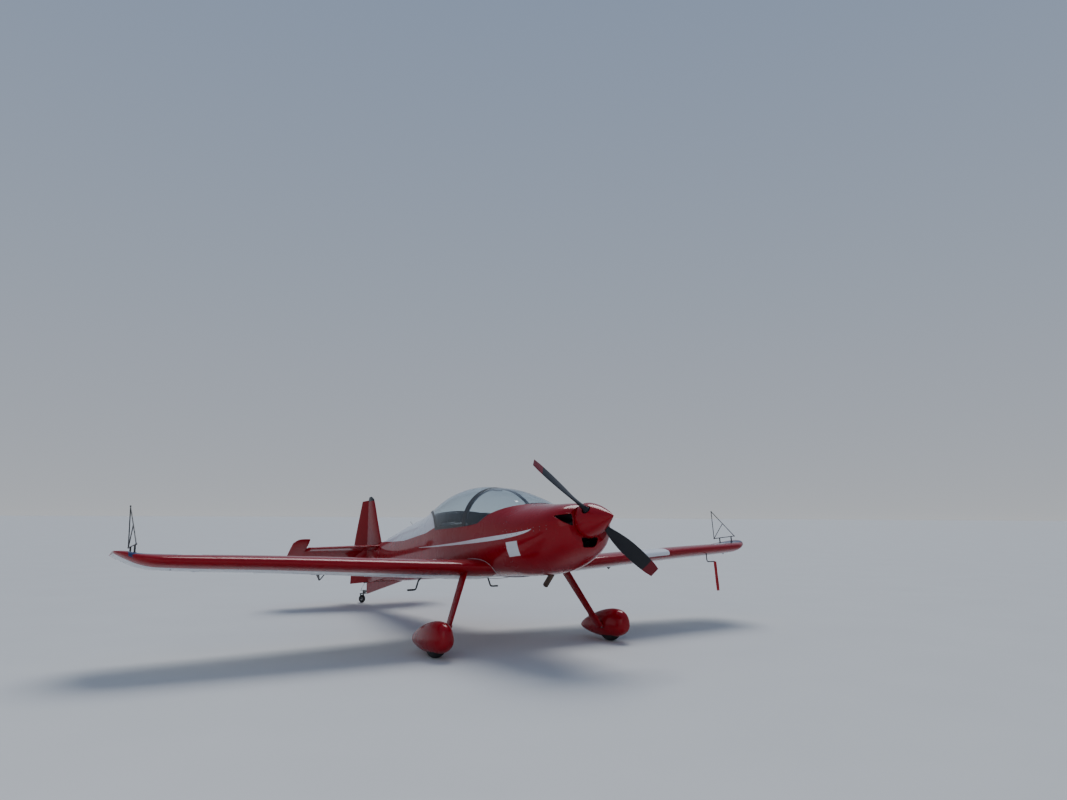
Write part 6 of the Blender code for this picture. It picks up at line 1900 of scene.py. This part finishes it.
# %% Control sticks with grips
STICK = ((-0.390, 0.9053), (-0.390, 1.020), (-0.420, 1.120), (-0.415, 1.220), (-0.400, 1.300))
STICK_RADIUS = 0.0095
GRIP_FOOT = (-0.4165, 1.185)
GRIP = ((0.0, 0.0), (0.0085, 0.0), (0.0150, 0.006), (0.0135, 0.030), (0.0160, 0.055),
        (0.0140, 0.085), (0.0170, 0.105), (0.0100, 0.116), (0.0, 0.117))
BOOT_FOOT = (-0.390, 0.9055)
BOOT = ((0.0, 0.0), (0.050, 0.0), (0.030, 0.018), (0.024, 0.030), (0.016, 0.036),
        (0.012, 0.050), (0.0, 0.050))
for side, sign in SIDES:
    y = sign * SEAT_Y
    stick = tube("stick", [(x, y, z) for x, z in STICK[:-1]], STICK_RADIUS, satin_black, 0.05)
    foot = Vector((GRIP_FOOT[0], y, GRIP_FOOT[1]))
    top = Vector((STICK[-1][0], y, STICK[-1][1]))
    grip = turned("grip", GRIP, foot, (top - foot).normalized(), 28)
    boot = turned("boot", BOOT, (BOOT_FOOT[0], y, BOOT_FOOT[1]), (0, 0, 1), 40)
    show("stick_" + side, fuse("stick", [stick, grip, boot]), "airframe", trim_black,
         ["control_stick_" + side], TUBE_CREASE)

# %% Instrument panel dials
PANEL_TOP = Vector((-0.165, 0.0, 1.466))
PANEL_FOOT = Vector((-0.085, 0.0, 1.170))
panel_way = (PANEL_TOP - PANEL_FOOT).normalized()
panel_out = Vector((-panel_way.z, 0.0, panel_way.x))
DIAL_SPOTS = ((-0.33, 0.22), (-0.23, 0.22), (-0.13, 0.22), (0.0, 0.20), (0.13, 0.22),
              (0.23, 0.22), (0.33, 0.22), (-0.33, 0.11), (-0.23, 0.11), (-0.13, 0.11),
              (0.13, 0.11), (0.23, 0.11), (0.33, 0.11))
DIAL_RADIUS = 0.040
FACE_RADIUS = DIAL_RADIUS - 0.006
BEZEL_BORE = DIAL_RADIUS - 0.007
BEZEL = ((DIAL_RADIUS, -0.001), (DIAL_RADIUS, 0.005), (DIAL_RADIUS - 0.004, 0.007),
         (BEZEL_BORE, 0.002), (BEZEL_BORE, -0.001))
DIAL_FACE = ((0.0, -0.0005), (FACE_RADIUS, -0.0005), (FACE_RADIUS, 0.0012), (0.0, 0.0012))
MARK_LIFT = 0.0017
MARK_REACH = (0.026, 0.032)
MARK_RADIUS = 0.0009
NEEDLE_LIFT = 0.0024
NEEDLE_REACH = (-0.006, 0.025)
NEEDLE_RADIUS = 0.0011
bezels, faces, marks = [], [], []
for across_y, up_share in DIAL_SPOTS:
    centre = PANEL_FOOT + panel_way * up_share + Vector((0.0, across_y, 0.0))
    bezels.append(turned("bezel", BEZEL, centre, panel_out, 40))
    faces.append(turned("face", DIAL_FACE, centre, panel_out, 40))
    start = centre + panel_out * MARK_LIFT
    for c, s in round_steps(12):
        way = panel_way * c + Vector((0.0, s, 0.0))
        marks.append(bar("mark", *(start + way * reach for reach in MARK_REACH), MARK_RADIUS, 6))
    lean = up_share * 9
    needle = panel_way * math.cos(lean) + Vector((0.0, math.sin(lean + across_y * 7), 0.0))
    needle.normalize()
    start = centre + panel_out * NEEDLE_LIFT
    marks.append(bar("needle", *(start + needle * reach for reach in NEEDLE_REACH), NEEDLE_RADIUS, 6))
add_fitting("dial_bezels", bezels, satin_black)
add_fitting("dial_faces", faces, dial_black)
add_fitting("dial_marks", marks, dial_white)

# %% [markdown]
# ## The pitot cover's streamer
# A red ribbon hangs from the pitot tube's cover so that nobody flies with it on. It is a sheet
# of cloth: nearly flat, a little wavy towards its free end, and bare of any words.

# %% Streamer
STREAMER = (0.052, 0.389)
STREAMER_WAVE = 0.0018
STREAMER_COLUMNS = 8
STREAMER_ROWS = 48
AHEAD_OF_TIP = 0.0033
tip_x, tip_z = PITOT[-1]
shape = bmesh.new()
grid = []
for r in range(STREAMER_ROWS + 1):
    v = r / STREAMER_ROWS
    row = []
    for c in range(STREAMER_COLUMNS + 1):
        u = 2 * c / STREAMER_COLUMNS - 1
        wave = STREAMER_WAVE * v * math.sin(9.0 * v + 1.1 * u)
        place = (tip_x + AHEAD_OF_TIP + wave, PITOT_Y + u * STREAMER[0] / 2, tip_z - v * STREAMER[1])
        row.append(shape.verts.new(place))
    grid.append(row)
quilt(shape, grid)
ribbon = show("pitot_ribbon", mesh_of(shape, "pitot_ribbon"), "airframe", streamer_cloth,
              ["pitot_streamer"], CLOTH_CREASE)
wall = ribbon.modifiers.new("wall", "SOLIDIFY")
wall.thickness = 0.0010
wall.offset = 0.0

# %% [markdown]
# ## CAD pieces that stay
# The floor, bulkhead, engine block, steering parts and other plain pieces are already right, so
# they only get their finishes.

# %% Finishes on the CAD's own pieces
KEPT = {
    "cabin_floor": trim_black, "rear_bulkhead": trim_black, "rear_shelf": trim_black,
    "instrument_panel": trim_black, "firewall": alloy, "engine_block": steel,
    "elevator_torque_tube": steel, "tail_spring": satin_black, "tail_fork": satin_black,
    "prop_hub": alloy,
}
for name, look in KEPT.items():
    node = frame["nodes"][name]
    for place in node.material_slots:
        place.material = look
print("kept CAD pieces:", len(KEPT))

# %% [markdown]
# ## Floor, light and camera
# The floor is plain and pale. A large soft light high behind the aircraft stands for the open
# sky over the field, and weaker ones fill the near side. The camera stands where the photo was
# taken from: low, off the right wing tip, with a wide lens tilted up.

# %% Stage
FLOOR_REACH = 400.0
FLOOR_SHADES = ((0.58, 0.58, 0.57, 1.0), (0.63, 0.63, 0.62, 1.0))
floor_shape = bmesh.new()
bmesh.ops.create_grid(floor_shape, x_segments=2, y_segments=2, size=FLOOR_REACH)
floor = stand("studio_floor", mesh_of(floor_shape, "studio_floor"))
floor_look, floor_tree, floor_shader = new_look("studio_floor")
shade = blend_colour(floor_tree, noise(floor_tree, 0.8, 4.0), *FLOOR_SHADES)
floor_tree.links.new(shade, floor_shader.inputs["Base Color"])
floor_shader.inputs["Roughness"].default_value = 0.85
floor.data.materials.append(floor_look)

# %% Sky dome, sun and fill
HORIZON = (0.80, 0.83, 0.87, 1.0)
ZENITH = (0.26, 0.40, 0.66, 1.0)
DOME_STRENGTH = 0.62
SUN_WAY = (0.42, -0.36, -0.83)
SUN_STRENGTH = 1.9
SUN_SPREAD = math.radians(32.0)
FILL_PLACE = (9.0, -9.0, 6.0)
FILL_WAY = (-8.0, 9.0, -5.0)
FILL_POWER = 150.0
FILL_SIZE = 9.0
world = bpy.data.worlds.new("studio")
bpy.context.scene.world = world
world.use_nodes = True
dome = world.node_tree
sky_way = add_node(dome, "ShaderNodeTexCoord").outputs["Generated"]
up = add_node(dome, "ShaderNodeSeparateXYZ", [("Vector", sky_way)])
rise = maths(dome, "POWER", maths(dome, "MAXIMUM", up.outputs[2], 0.0), 0.6)
dome.links.new(blend_colour(dome, rise, HORIZON, ZENITH), dome.nodes["Background"].inputs["Color"])
dome.nodes["Background"].inputs["Strength"].default_value = DOME_STRENGTH


def add_light(name, kind, place, way, power):
    data = bpy.data.lights.new(name, kind)
    data.energy = power
    made = bpy.data.objects.new(name, data)
    made.location = place
    made.rotation_euler = Vector(way).to_track_quat("-Z", "Y").to_euler()
    bpy.context.scene.collection.objects.link(made)
    return data


sun = add_light("soft_sun", "SUN", (-6.0, 5.0, 12.0), SUN_WAY, SUN_STRENGTH)
sun.angle = SUN_SPREAD
fill = add_light("near_fill", "AREA", FILL_PLACE, FILL_WAY, FILL_POWER)
fill.shape = "DISK"
fill.size = FILL_SIZE

# %% Camera at the photo's place
CAMERA_PLACE = (9.738, -4.810, 1.484)
CAMERA_GROUND_WAY = (-0.8475, 0.5308)
CAMERA_TILT = math.radians(8.37)
CAMERA_ROLL = math.radians(0.3)
FOCAL_LENGTH = 26.4
lens = bpy.data.cameras.new("photo_camera")
lens.lens = FOCAL_LENGTH
lens.sensor_width = 36.0
lens.clip_start = 0.05
lens.clip_end = 400.0
camera = bpy.data.objects.new("photo_camera", lens)
bpy.context.scene.collection.objects.link(camera)
level_share = math.cos(CAMERA_TILT)
look_way = Vector((CAMERA_GROUND_WAY[0] * level_share, CAMERA_GROUND_WAY[1] * level_share,
                   math.sin(CAMERA_TILT)))
aim = look_way.to_track_quat("-Z", "Y") @ Quaternion((0.0, 0.0, 1.0), CAMERA_ROLL)
camera.location = CAMERA_PLACE
camera.rotation_euler = aim.to_euler()
bpy.context.scene.camera = camera
print("camera %.2f m above the floor" % CAMERA_PLACE[2])
